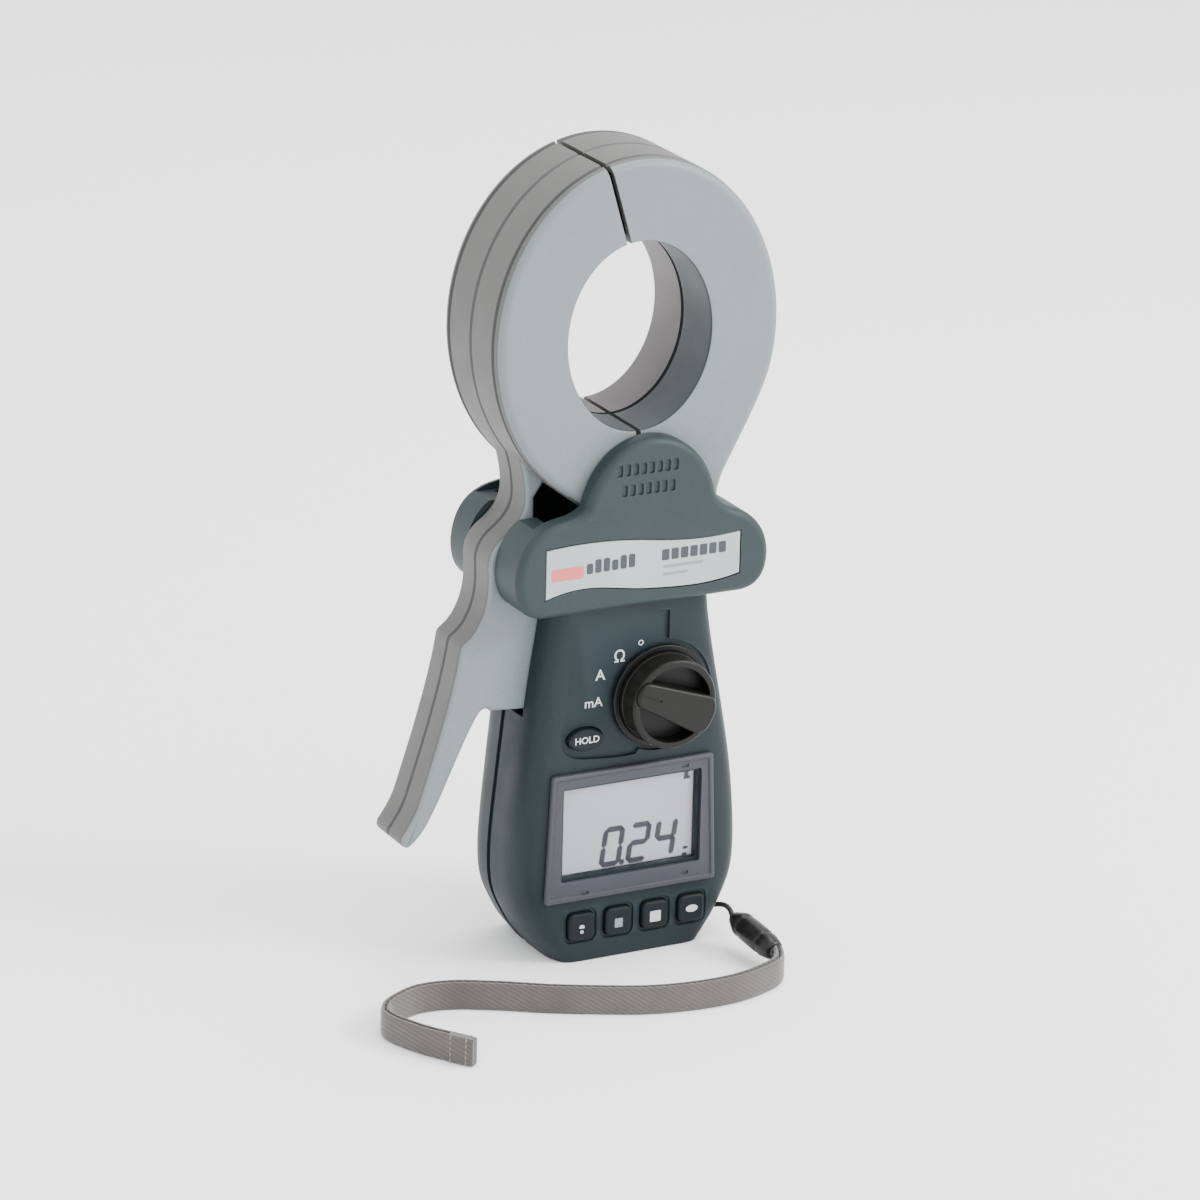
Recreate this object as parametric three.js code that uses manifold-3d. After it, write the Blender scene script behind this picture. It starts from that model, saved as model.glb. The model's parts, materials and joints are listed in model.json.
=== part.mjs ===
// Clamp meter for earth and leakage current: a ring that opens with a lever, on a body with a display.
// Millimetres. +X is the viewer's right, the front faces -Y, +Z runs up from the foot it stands on.
// Y = 0 is the middle of the ring's depth.
import * as THREE from "three";
import { mergeVertices } from "three/addons/utils/BufferGeometryUtils.js";
import loadManifold from "manifold-3d";

const library = await loadManifold();
library.setup();

// ---------- driving dimensions ----------
const fit = 0.3; // clearance between pieces that touch
const far = 400; // larger than the whole object, for cutting blocks

const ring = { z: 203, outerX: 48.4, outerZ: 56, halfDepth: 19.5, edge: 3.4, wall: 2.6 };
const hole = { halfWidth: 24.5, halfHeight: 30 }; // the ring's opening, an oval about the same centre
const splitTop = [-13.7, 263]; // the jaws part along a line from here ...
const splitLow = [-4.6, 232.5]; // ... to here, and straight down the middle below the hole
const jawGap = 1.2;
const pivot = { x: -30, z: 130, hub: 8.6, pin: 3, bore: 3.3 };
const lever = { halfDepth: 9.7, edge: 1.5, slotHalf: 10.3 };
// The core and winding run round the hole: how far their inner and outer sides stand off it.
const core = { inside: 5.2, outside: 16.6, halfDepth: 9.5 };
const winding = { inside: 3.2, outside: 18.6, halfDepth: 12, low: 172, high: 222, offMiddle: 8 };

const body = { front: -20.5, rear: 19.5, seam: 2, middle: -1, top: 117.6, wall: 2.5, lean: 1.6 };
const roundness = 4; // how squarely the body's oval section fills its corners: 2 is a plain oval
const frontBulge = 23; // half depths of the oval section before its front and rear are cut flat
const rearBulge = 23;
// Half width of the body at heights above the foot.
const bodyOutline = [
  [26.6, 0], [30.6, 5], [34, 10], [38.6, 20], [39.8, 30], [39.2, 43],
  [37.6, 58], [35.6, 72], [33.4, 86], [31, 100], [29.2, 111], [28.6, 117.6],
];
const webSlot = { low: 81, high: 121, inner: -4 };

const guard = { low: 118, high: 146, halfWidth: 43.8, front: -26.3, rear: 23.7, edge: 3.2 };
// The round shield above the guard's middle is taller in front of the ring than behind it.
const frontShield = { x: 2.4, z: 145.6, halfWidth: 23, halfHeight: 26.6 };
const rearShield = { x: 2, z: 145.6, halfWidth: 22, halfHeight: 20 };
const guardCavity = { left: -30, right: 30, floor: 121, clearance: 0.8, floorWay: 19 };

const display = { z: 43.7, width: 47, height: 29.4 };
const displayRim = { top: 64, low: 21.4, topHalf: 28.2, lowHalf: 30 };
const knob = { x: 9.3, z: 85.7, skirt: 16.8, rim: 15.2, grip: 13.4, shaft: 3.4, disc: -28.2, tip: -32.5 };
const knobTurn = -24.4; // degrees from level to where the knob points, on its left
const holdKey = { x: -16.4, z: 74.6, halfWidth: 6.2, halfHeight: 3.6 };
const keys = { x: 2.8, z: 12, count: 4, spacing: 13, width: 9, height: 9, proud: 1.2, rear: -16.4 };
const board = { front: -13.4, thick: 1.5 };
const battery = { width: 26.5, depth: 16.6, height: 48.5, low: 13, front: -3.6 };
const door = { halfWidth: 17.5, low: 9.6, high: 67, thick: 2 };
const screw = { head: 2.8, shank: 1.5 };
const screwPlaces = [[-27, 28], [31, 28], [-25, 68], [28.5, 68]];
const buzzerAt = { x: 17, z: 66, radius: 8, depth: 3.6 };
const spring = { coil: 5.2, wire: 0.6, turns: 4.5, pitch: 1.7, start: 10.9, stepsPerTurn: 12 };

const strap = { cord: 1.7, band: 8.8, thick: 3, bead: 4.2 };
// Where the strap runs on the surface the meter stands on, from the slider bead to the sewn end.
const strapRoute = [
  [36.3, -53.5], [33.5, -59.5], [27.6, -64], [14.9, -68.3], [0.5, -68.7], [-15.4, -65.7],
  [-29.5, -59.5], [-43.2, -52.4], [-56.3, -44.1], [-69, -37.6], [-79.7, -36.1], [-88, -39.1],
  [-95.1, -44.4], [-97.2, -51.8], [-92.8, -63.6], [-87.1, -72.7], [-82.2, -79.8],
];
const cordRoute = [[34.6, -14.6, 8.6], [36, -18.5, 9.6], [35.2, -23.5, 10], [33.9, -28, 9.6]];
const beadRoute = [[33.9, -28.6, 9.5], [36.3, -51.6, 6.2]];

// ---------- colours ----------
const finishes = {
  jaw: { color: 0x9ba2a2, roughness: 0.55, metalness: 0 },
  shell: { color: 0x36444a, roughness: 0.6, metalness: 0 },
  guard: { color: 0x485456, roughness: 0.6, metalness: 0 },
  frame: { color: 0x5f626a, roughness: 0.5, metalness: 0 },
  black: { color: 0x1b1c1c, roughness: 0.5, metalness: 0 },
  knob: { color: 0x2c2a28, roughness: 0.45, metalness: 0 },
  label: { color: 0xb9c2c2, roughness: 0.4, metalness: 0.2 },
  glass: { color: 0xc4c5cb, roughness: 0.1, metalness: 0 },
  display: { color: 0xb9bac2, roughness: 0.3, metalness: 0 },
  board: { color: 0x1f5a38, roughness: 0.6, metalness: 0 },
  steel: { color: 0x8d8f92, roughness: 0.35, metalness: 1 },
  core: { color: 0x6d6a66, roughness: 0.5, metalness: 0.8 },
  copper: { color: 0x9c5a2c, roughness: 0.4, metalness: 0.8 },
  battery: { color: 0x2d3036, roughness: 0.4, metalness: 0.3 },
  rubber: { color: 0x2a2c2d, roughness: 0.8, metalness: 0 },
  webbing: { color: 0x827d78, roughness: 0.9, metalness: 0 },
};
const materials = {};
for (const [name, look] of Object.entries(finishes)) {
  materials[name] = new THREE.MeshStandardMaterial(look);
}

// ---------- solids ----------
// A solid that can be cut and joined, from a closed three.js geometry.
function solid(geometry) {
  const loose = geometry.index ? geometry.toNonIndexed() : geometry;
  const bare = new THREE.BufferGeometry().setAttribute("position", loose.getAttribute("position"));
  const merged = mergeVertices(bare, 1e-4);
  const mesh = new library.Mesh({
    numProp: 3,
    vertProperties: merged.attributes.position.array,
    triVerts: new Uint32Array(merged.index.array),
  });
  return new library.Manifold(mesh);
}

function geometryOf(made) {
  const mesh = made.getMesh();
  const geometry = new THREE.BufferGeometry();
  geometry.setAttribute("position", new THREE.BufferAttribute(mesh.vertProperties, 3));
  geometry.setIndex(new THREE.BufferAttribute(mesh.triVerts, 1));
  geometry.computeVertexNormals();
  return geometry;
}

const join = (...pieces) => pieces.reduce((all, piece) => all.add(piece));
const cut = (piece, ...tools) => tools.reduce((left, tool) => left.subtract(tool), piece);
const toRear = (piece) => piece.mirror([0, 1, 0]);

function block(x0, x1, y0, y1, z0, z1) {
  const geometry = new THREE.BoxGeometry(x1 - x0, y1 - y0, z1 - z0);
  geometry.translate((x0 + x1) / 2, (y0 + y1) / 2, (z0 + z1) / 2);
  return solid(geometry);
}

const inFrontOfSeam = () => block(-far, far, -far, body.seam - fit / 2, -far, far);
const behindSeam = () => block(-far, far, body.seam + fit / 2, far, -far, far);

// A slab whose outline is drawn in the front view, as x and z. edge rounds its front rim.
function slab(shape, yFront, yRear, edge = 0, curveSegments = 6) {
  const geometry = new THREE.ExtrudeGeometry(shape, {
    depth: yRear - yFront - edge,
    curveSegments,
    bevelEnabled: edge > 0,
    bevelThickness: edge,
    bevelSize: edge,
    bevelOffset: -edge,
    bevelSegments: 3,
  });
  geometry.rotateX(Math.PI / 2);
  geometry.translate(0, yRear, 0);
  const made = solid(geometry);
  return edge ? made.intersect(block(-far, far, -far, yRear, -far, far)) : made;
}

const polygon = (points) => new THREE.Shape(points.map(([x, z]) => new THREE.Vector2(x, z)));

const oval = (...size) => new THREE.Shape().absellipse(...size, 0, 2 * Math.PI);
const ovalPath = (...size) => new THREE.Path().absellipse(...size, 0, 2 * Math.PI);

function roundedRectangle(x0, x1, z0, z1, radius) {
  const shape = new THREE.Shape();
  shape.absarc(x1 - radius, z0 + radius, radius, -Math.PI / 2, 0);
  shape.absarc(x1 - radius, z1 - radius, radius, 0, Math.PI / 2);
  shape.absarc(x0 + radius, z1 - radius, radius, Math.PI / 2, Math.PI);
  shape.absarc(x0 + radius, z0 + radius, radius, Math.PI, 1.5 * Math.PI);
  return shape;
}

// A round rod or disc along Y.
function rod(x, z, radius, yFront, yRear, sides = 32) {
  const geometry = new THREE.CylinderGeometry(radius, radius, yRear - yFront, sides);
  return solid(geometry.translate(x, (yFront + yRear) / 2, z));
}

// ---------- body ----------
const outlineCurve = new THREE.SplineCurve(bodyOutline.map(([half, z]) => new THREE.Vector2(half, z)));

// A closed solid that follows the body's outline, inset by a wall thickness.
function bodyForm(inset) {
  const around = 40;
  const levels = 18;
  const positions = [];
  const indices = [];
  for (let level = 0; level <= levels; level++) {
    const [half, height] = outlineCurve.getPoint(level / levels).toArray();
    const z = inset ? inset + (height / body.top) * (body.top - inset + 1) : height;
    const lean = body.lean * (1 - THREE.MathUtils.smoothstep(z, 50, 105)); // the low end bulges to the right
    for (let step = 0; step < around; step++) {
      const angle = (2 * Math.PI * step) / around;
      const power = 2 / roundness;
      const across = Math.sign(Math.cos(angle)) * Math.abs(Math.cos(angle)) ** power;
      const deep = Math.sign(Math.sin(angle)) * Math.abs(Math.sin(angle)) ** power;
      const bulge = (deep < 0 ? frontBulge : rearBulge) - inset;
      const y = THREE.MathUtils.clamp(body.middle + deep * bulge, body.front + inset, body.rear - inset);
      positions.push(lean + across * (half - inset), y, z);
    }
  }
  for (let level = 0; level < levels; level++) {
    for (let step = 0; step < around; step++) {
      const a = level * around + step;
      const b = level * around + ((step + 1) % around);
      indices.push(a, b, b + around, a, b + around, a + around);
    }
  }
  for (let step = 1; step < around - 1; step++) {
    const roof = levels * around;
    indices.push(0, step + 1, step, roof, roof + step, roof + step + 1);
  }
  const geometry = new THREE.BufferGeometry();
  geometry.setAttribute("position", new THREE.Float32BufferAttribute(positions, 3));
  geometry.setIndex(indices);
  return solid(geometry);
}

const bodyOuter = bodyForm(0);
const bodyShell = cut(
  bodyOuter,
  bodyForm(body.wall),
  block(-far, webSlot.inner, -lever.slotHalf, lever.slotHalf, webSlot.low, webSlot.high),
);

function keyShape(index, grow) {
  const x = keys.x + (index - 1.5) * keys.spacing;
  const halfWidth = keys.width / 2 + grow;
  const halfHeight = keys.height / 2 + grow;
  return roundedRectangle(x - halfWidth, x + halfWidth, keys.z - halfHeight, keys.z + halfHeight, 2);
}

const holdShape = (grow) => oval(holdKey.x, holdKey.z, holdKey.halfWidth + grow, holdKey.halfHeight + grow);

// The display's opening in the front view: left, right, low and top.
function displayBounds(grow) {
  const halfWidth = display.width / 2 + grow;
  const halfHeight = display.height / 2 + grow;
  return [-halfWidth, halfWidth, display.z - halfHeight, display.z + halfHeight];
}

function frontHousing() {
  const inside = body.front + body.wall + 4; // behind the front wall
  const openings = [];
  for (let index = 0; index < keys.count; index++) openings.push(slab(keyShape(index, fit), -far, inside));
  openings.push(slab(holdShape(fit), -far, inside, 0, 12));
  openings.push(rod(knob.x, knob.z, knob.shaft + fit, -far, inside));
  const [left, right, low, top] = displayBounds(0);
  openings.push(block(left, right, -far, inside, low, top));
  const strapHole = block(28, 44, -16.2, -13, 7, 10.2);
  return cut(bodyShell.intersect(inFrontOfSeam()), ...openings, strapHole);
}

function rearHousing() {
  const halfWidth = door.halfWidth + fit;
  const doorway = block(-halfWidth, halfWidth, 12, far, door.low - fit, door.high + fit);
  const holes = screwPlaces.map(([x, z]) => rod(x, z, screw.head + fit, 5, far));
  return cut(bodyShell.intersect(behindSeam()), doorway, ...holes);
}

function batteryDoor() {
  const plate = block(-door.halfWidth, door.halfWidth, body.rear - door.thick, far, door.low, door.high);
  return cut(bodyOuter.intersect(plate), rod(0, door.high - 5, screw.shank + fit, 0, far));
}

// ---------- guard ----------
// The hand guard's outline: a bar with rounded ends, and the round shield above its middle.
function guardOutline(shield) {
  const turn = 0.08 * Math.PI; // how far above its middle the shield runs out into the bar
  const end = guard.halfWidth;
  const foot = shield.halfWidth * Math.cos(turn);
  const shape = new THREE.Shape();
  shape.moveTo(-end + 9, guard.low);
  shape.lineTo(end - 9, guard.low);
  shape.quadraticCurveTo(end, guard.low + 1, end, guard.low + 12);
  shape.quadraticCurveTo(end - 1, guard.high - 4, end - 15.4, guard.high + 2);
  shape.absellipse(shield.x, shield.z, shield.halfWidth, shield.halfHeight, turn, Math.PI - turn);
  shape.quadraticCurveTo(-end + 9, guard.high + 2, -end, guard.low + 12);
  shape.quadraticCurveTo(-end, guard.low + 1, -end + 9, guard.low);
  return shape;
}

// Half of the guard, from its outer face to the seam: hollow for the jaws, open on the left for the lever.
function guardHalf(reach, shield) {
  const whole = slab(guardOutline(shield), -reach, -fit / 2, guard.edge, 10);
  const inside = -ring.halfDepth - guardCavity.clearance;
  const cavity = block(guardCavity.left, guardCavity.right, inside, 0, guardCavity.floor, far);
  const above = block(-far, far, inside, 0, guard.high, far);
  const leverWay = block(-far, guardCavity.left + 1, -lever.slotHalf, 0, 0, far);
  const floorWay = block(guardCavity.left, webSlot.inner, -guardCavity.floorWay, 0, 0, far);
  const pinSeat = rod(pivot.x, pivot.z, pivot.pin + fit, -ring.halfDepth - 2.6, 0);
  const springSeat = rod(pivot.x, pivot.z, spring.coil + spring.wire + 0.8, -ring.halfDepth - fit, 0);
  return cut(whole, cavity, above, leverWay, floorWay, pinSeat, springSeat);
}

function labelShape() {
  const shape = new THREE.Shape();
  shape.moveTo(-34.6, 124.2);
  shape.bezierCurveTo(-20, 129, -12, 124.6, 2, 123.4);
  shape.bezierCurveTo(14, 122.4, 22, 121.8, 33.4, 124.4);
  shape.lineTo(33.4, 138.6);
  shape.bezierCurveTo(20, 137.2, 12, 138.2, 2, 139.6);
  shape.bezierCurveTo(-10, 141.6, -22, 142, -34.6, 140.8);
  return shape;
}

// The label sits in a shallow recess of the same outline, a little larger.
const labelRecess = () => slab(labelShape(), -far, guard.front + 0.8, 0, 10);

function labelPlate() {
  const middle = (guard.low + guard.high) / 2;
  const plate = slab(labelShape(), guard.front - 0.3, guard.front + 0.5, 0, 10);
  return plate.translate([0, 0, -middle]).scale([0.99, 1, 0.96]).translate([0, 0, middle]);
}

// ---------- jaws ----------
const jawHole = () => ovalPath(0, ring.z, hole.halfWidth, hole.halfHeight);

// Both jaws in one outline: the oval ring, and the roots that carry it down behind the shield.
function jawOutline() {
  const rightLeaves = -0.2343; // turns on the oval, in radians, where the roots run off it without a corner
  const leftLeaves = Math.PI + 0.98;
  const shape = new THREE.Shape();
  shape.absellipse(0, ring.z, ring.outerX, ring.outerZ, rightLeaves, leftLeaves);
  shape.lineTo(-18, 149.6);
  shape.lineTo(-12, 147);
  shape.lineTo(0, 147);
  shape.lineTo(0, 123);
  shape.lineTo(28.8, 123);
  shape.lineTo(28.8, 148);
  shape.quadraticCurveTo(29.3, 152, 31.3, 156);
  shape.bezierCurveTo(38.5, 169.5, 45.1, 180.5, 47.08, 190);
  shape.holes.push(jawHole());
  return shape;
}

function ovalRing() {
  const shape = oval(0, ring.z, ring.outerX, ring.outerZ);
  shape.holes.push(jawHole());
  return shape;
}

// Everything on one side of the line on which the jaws part: -1 is the moving jaw's side, 1 the fixed one's.
function sideOfSplit(side) {
  const shift = (side * jawGap) / 2;
  const outline = polygon([
    [side * far, 0],
    [shift, 0],
    [shift, ring.z],
    [splitLow[0] + shift, splitLow[1]],
    [splitTop[0] + shift, splitTop[1]],
    [side * far, splitTop[1]],
  ]);
  return slab(outline, -far, far);
}

// The channel in each jaw that holds its core and winding.
function coreChannel() {
  const shape = oval(0, ring.z, ring.outerX - ring.wall, ring.outerZ - ring.wall);
  shape.holes.push(ovalPath(0, ring.z, hole.halfWidth + ring.wall, hole.halfHeight + ring.wall));
  return slab(shape, -ring.halfDepth + ring.wall, ring.halfDepth - ring.wall, 0, 20);
}

function ringBand(insideOffset, outsideOffset, halfDepth) {
  const shape = oval(0, ring.z, hole.halfWidth + outsideOffset, hole.halfHeight + outsideOffset);
  shape.holes.push(ovalPath(0, ring.z, hole.halfWidth + insideOffset, hole.halfHeight + insideOffset));
  return slab(shape, -halfDepth, halfDepth, 0, 20);
}

// The lever, from the jaw past the guard's left end to the finger grip, with the web that enters the body.
function leverShape() {
  const shape = new THREE.Shape();
  shape.moveTo(-26, 172);
  shape.lineTo(-38, 172);
  shape.bezierCurveTo(-35.8, 166, -33.4, 159, -33.4, 152);
  shape.bezierCurveTo(-33.4, 147, -36.5, 143.5, -40.5, 140.7);
  shape.bezierCurveTo(-44.3, 137.9, -46, 134.5, -45.6, 130);
  shape.bezierCurveTo(-45.1, 123.5, -45.9, 117.5, -48.5, 113.2);
  shape.quadraticCurveTo(-50, 110, -53.4, 107.8);
  shape.lineTo(-54.8, 105.8);
  shape.bezierCurveTo(-56.8, 92, -62.8, 73, -68.5, 56);
  shape.lineTo(-74, 46.8);
  shape.quadraticCurveTo(-74.8, 44.4, -72.6, 43.2);
  shape.lineTo(-71, 43);
  shape.quadraticCurveTo(-66.5, 46, -63.3, 52.5);
  shape.bezierCurveTo(-59.5, 59, -51.5, 79, -47.6, 84);
  shape.quadraticCurveTo(-45.8, 86, -43.8, 84);
  shape.lineTo(-22, 82.4);
  shape.lineTo(-21.4, 128);
  shape.absarc(pivot.x, pivot.z, pivot.hub, 0, 0.5 * Math.PI);
  shape.lineTo(-30.2, 152);
  shape.lineTo(-26, 158);
  return shape;
}

function movingHalf() {
  const deep = slab(jawOutline(), -ring.halfDepth, -fit / 2, ring.edge, 28);
  const arm = slab(leverShape(), -lever.halfDepth, -fit / 2, lever.edge, 8);
  const opening = slab(oval(0, ring.z, hole.halfWidth, hole.halfHeight), -far, far, 0, 28);
  const pinHole = rod(pivot.x, pivot.z, pivot.bore, -far, far);
  return cut(join(deep, arm), opening, coreChannel(), pinHole).intersect(sideOfSplit(-1));
}

function fixedHalf() {
  const deep = slab(jawOutline(), -ring.halfDepth, -fit / 2, ring.edge, 28);
  const rootHollow = block(5, 26, -ring.halfDepth + ring.wall, 0, 126, 146);
  return cut(deep, coreChannel(), rootHollow).intersect(sideOfSplit(1));
}

function jawCore(side) {
  const retreat = slab(ovalRing(), -far, far, 0, 28).intersect(sideOfSplit(side));
  return ringBand(core.inside, core.outside, core.halfDepth).intersect(retreat);
}

function jawWinding(side) {
  const [from, to] = side < 0 ? [-far, -winding.offMiddle] : [winding.offMiddle, far];
  const stretch = block(from, to, -far, far, winding.low, winding.high);
  const sleeve = ringBand(winding.inside, winding.outside, winding.halfDepth);
  const bore = ringBand(core.inside - fit, core.outside + fit, core.halfDepth + fit);
  return cut(sleeve, bore).intersect(stretch);
}

// A spring coiled round the pivot pin.
function returnSpring() {
  const steps = spring.turns * spring.stepsPerTurn;
  const points = [];
  for (let step = 0; step <= steps; step++) {
    const turn = step / spring.stepsPerTurn;
    const angle = 2 * Math.PI * turn;
    const y = spring.start + spring.pitch * turn;
    const x = pivot.x + spring.coil * Math.cos(angle);
    points.push(new THREE.Vector3(x, y, pivot.z + spring.coil * Math.sin(angle)));
  }
  return sweep(points, wireSection(spring.wire, 6), steps);
}

const pivotPin = () => rod(pivot.x, pivot.z, pivot.pin, -ring.halfDepth - 2.3, ring.halfDepth + 2.3, 24);

function wireSection(radius, sides) {
  const shape = new THREE.Shape();
  for (let step = 0; step < sides; step++) {
    const angle = (2 * Math.PI * step) / sides;
    const place = [radius * Math.cos(angle), radius * Math.sin(angle)];
    step ? shape.lineTo(...place) : shape.moveTo(...place);
  }
  return shape;
}

function sweep(points, section, steps) {
  const path = new THREE.CatmullRomCurve3(points);
  return solid(new THREE.ExtrudeGeometry(section, { steps, extrudePath: path, curveSegments: 8 }));
}

// ---------- display and controls ----------
function displayFrame() {
  const shape = polygon([
    [-displayRim.lowHalf, displayRim.low],
    [displayRim.lowHalf, displayRim.low],
    [displayRim.topHalf, displayRim.top],
    [-displayRim.topHalf, displayRim.top],
  ]);
  const opening = slab(roundedRectangle(...displayBounds(0), 1), -far, 0);
  return cut(slab(shape, body.front - 2, body.front - fit, 0.8), opening);
}

// The knob's finger bar, which is broader away from its pointing end.
function barShape() {
  const reach = knob.grip - 0.2;
  const narrow = 4.2;
  const broad = 6.4;
  const shape = new THREE.Shape();
  shape.moveTo(-reach + 3, -narrow);
  shape.lineTo(reach - 4, -broad);
  shape.quadraticCurveTo(reach, -broad + 0.4, reach, 0);
  shape.quadraticCurveTo(reach, broad - 0.4, reach - 4, broad);
  shape.lineTo(-reach + 3, narrow);
  shape.quadraticCurveTo(-reach, narrow - 0.6, -reach, 0);
  shape.quadraticCurveTo(-reach, -narrow + 0.6, -reach + 3, -narrow);
  return shape;
}

function knobGrip() {
  const skirt = rod(knob.x, knob.z, knob.rim - fit, body.front - 3.4, body.front - fit, 48);
  const grip = rod(knob.x, knob.z, knob.grip, knob.disc, body.front - 3, 48);
  const level = slab(barShape(), knob.tip, knob.disc + 0.2, 1);
  const bar = level.rotate([0, -knobTurn, 0]).translate([knob.x, 0, knob.z]);
  const shaft = rod(knob.x, knob.z, knob.shaft, body.front - 1, -12.2, 24);
  return join(skirt, grip, bar, shaft);
}

const functionKey = (index) => slab(keyShape(index, 0), body.front - keys.proud, keys.rear, 0.6, 8);

const holdCap = () => slab(holdShape(0), body.front - keys.proud, keys.rear, 0.6, 12);

function mainBoard() {
  const outline = polygon([
    [-21, 9], [24, 9], [32, 20], [32, 50], [28, 75],
    [22, 112], [-22, 112], [-24, 75], [-28, 50], [-28, 24],
  ]);
  const shaftHole = rod(knob.x, knob.z, knob.shaft + 0.6, -far, far);
  return cut(slab(outline, board.front, board.front + board.thick), shaftHole);
}

// ---------- strap ----------
function strapBand() {
  const middle = strap.band / 2 + 0.1;
  const route = strapRoute.map(([x, y]) => new THREE.Vector3(x, y, middle));
  return sweepUpright(route, strap.thick / 2, strap.band / 2, 72);
}

// A band that stands on edge: its section stays upright along a level route.
function sweepUpright(points, halfThick, halfHigh, steps) {
  const path = new THREE.CatmullRomCurve3(points);
  const positions = [];
  const indices = [];
  for (let step = 0; step <= steps; step++) {
    const at = path.getPointAt(step / steps);
    const along = path.getTangentAt(step / steps);
    const side = new THREE.Vector3(-along.y, along.x, 0).normalize().multiplyScalar(halfThick);
    for (const [s, h] of [[-1, -1], [1, -1], [1, 1], [-1, 1]]) {
      positions.push(at.x + s * side.x, at.y + s * side.y, at.z + h * halfHigh);
    }
  }
  for (let step = 0; step < steps; step++) {
    for (let corner = 0; corner < 4; corner++) {
      const a = step * 4 + corner;
      const b = step * 4 + ((corner + 1) % 4);
      indices.push(a, b, a + 4, b, b + 4, a + 4);
    }
  }
  const last = steps * 4;
  indices.push(0, 2, 1, 0, 3, 2, last, last + 1, last + 2, last, last + 2, last + 3);
  const geometry = new THREE.BufferGeometry();
  geometry.setAttribute("position", new THREE.Float32BufferAttribute(positions, 3));
  geometry.setIndex(indices);
  return solid(geometry);
}

function strapCord() {
  return sweep(cordRoute.map((at) => new THREE.Vector3(...at)), wireSection(strap.cord / 2, 10), 16);
}

function strapSlider() {
  const [from, to] = beadRoute.map((at) => new THREE.Vector3(...at));
  const length = from.distanceTo(to);
  const profile = [[0, 0], [2.2, 0], [strap.bead, 4], [strap.bead, length - 4], [3.2, length], [0, length]];
  const geometry = new THREE.LatheGeometry(profile.map(([r, y]) => new THREE.Vector2(r, y)), 20);
  const along = to.clone().sub(from).normalize();
  const turn = new THREE.Quaternion().setFromUnitVectors(new THREE.Vector3(0, 1, 0), along);
  geometry.applyQuaternion(turn);
  geometry.translate(from.x, from.y, from.z);
  return solid(geometry);
}

// ---------- fasteners and inner pieces ----------
function housingScrew([x, z]) {
  return join(rod(x, z, screw.head, 9.5, 12, 20), rod(x, z, screw.shank, 1, 9.6, 12));
}

function displayWindowPane() {
  const [left, right, low, top] = displayBounds(-fit);
  return block(left, right, body.front - 0.9, body.front + 1, low, top);
}

function displayModule() {
  const [left, right, low, top] = displayBounds(2);
  return block(left, right, -17.6, -14.9, low, top);
}

// Rubber strips that carry the signals from the board to the edge of the display.
function contactStrip(side) {
  const z = display.z + side * (display.height / 2 + 0.4);
  return block(-22, 22, -14.6, board.front - fit, z - 1.1, z + 1.1);
}

function knobRing() {
  const ringPiece = rod(knob.x, knob.z, knob.skirt, body.front - 1.6, body.front - fit / 2, 40);
  return cut(ringPiece, rod(knob.x, knob.z, knob.rim, -far, 0, 40));
}

// The rotor carries the sliding contacts and grips the knob's shaft.
function selectorRotor() {
  return cut(rod(knob.x, knob.z, 11, -17.6, -14.6, 32), rod(knob.x, knob.z, knob.shaft + 0.02, -far, 0, 24));
}

const keyMat = () => slab(roundedRectangle(keys.x - 24, keys.x + 24, 7.4, 17.4, 3), -15.1, board.front - fit);

function buzzer() {
  const front = board.front + board.thick + fit;
  const can = rod(buzzerAt.x, buzzerAt.z, buzzerAt.radius, front, front + buzzerAt.depth, 24);
  return cut(can, rod(buzzerAt.x, buzzerAt.z, 1.2, front + 2, far, 12));
}

function batteryCell() {
  const half = battery.width / 2;
  const rear = battery.front + battery.depth;
  const can = block(-half, half, battery.front, rear, battery.low, battery.low + battery.height - 3);
  const middle = (battery.front + rear) / 2;
  const terminals = [-6.3, 6.3].map((x) => {
    const stud = new THREE.CylinderGeometry(3, 3, 3.6, 16).rotateX(Math.PI / 2);
    return solid(stud).translate([x, middle, battery.low + battery.height - 1.4]);
  });
  return join(can, ...terminals);
}

function batterySnap() {
  const low = battery.low + battery.height + 0.6;
  return block(-12, 12, battery.front + 1, battery.front + battery.depth - 1, low, low + 2.6);
}

function doorScrew() {
  const z = door.high - 5;
  const head = rod(0, z, screw.head, body.rear + fit, body.rear + 1.5, 20);
  return join(head, rod(0, z, screw.shank, body.rear - 4, body.rear + 0.4, 12));
}

// The post that the strap's thin cord is tied round, beside its hole in the lower right corner.
const strapPost = () => block(27.2, 28.6, -12.4, -4, 10.4, 11.8);

// ---------- assembly ----------
const meter = new THREE.Group();
function add(name, finish, made) {
  const mesh = new THREE.Mesh(geometryOf(made), materials[finish]);
  mesh.name = name;
  meter.add(mesh);
}

add("front_housing", "shell", frontHousing());
add("rear_housing", "shell", rearHousing());
add("battery_door", "shell", batteryDoor());
add("guard_front", "guard", cut(guardHalf(-guard.front, frontShield), labelRecess()));
add("guard_rear", "guard", toRear(guardHalf(guard.rear, rearShield)));
add("label_plate", "label", labelPlate());
add("moving_jaw_front", "jaw", movingHalf());
add("moving_jaw_rear", "jaw", toRear(movingHalf()));
add("fixed_jaw_front", "jaw", fixedHalf());
add("fixed_jaw_rear", "jaw", toRear(fixedHalf()));
add("moving_core", "core", jawCore(-1));
add("fixed_core", "core", jawCore(1));
add("moving_winding", "copper", jawWinding(-1));
add("fixed_winding", "copper", jawWinding(1));
add("display_frame", "frame", displayFrame());
add("selector_knob", "knob", knobGrip());
for (let index = 0; index < keys.count; index++) {
  add(`function_key_${index + 1}`, "black", functionKey(index));
}
add("hold_key", "black", holdCap());
add("main_board", "board", mainBoard());
screwPlaces.forEach((place, index) => add(`housing_screw_${index + 1}`, "steel", housingScrew(place)));
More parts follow.
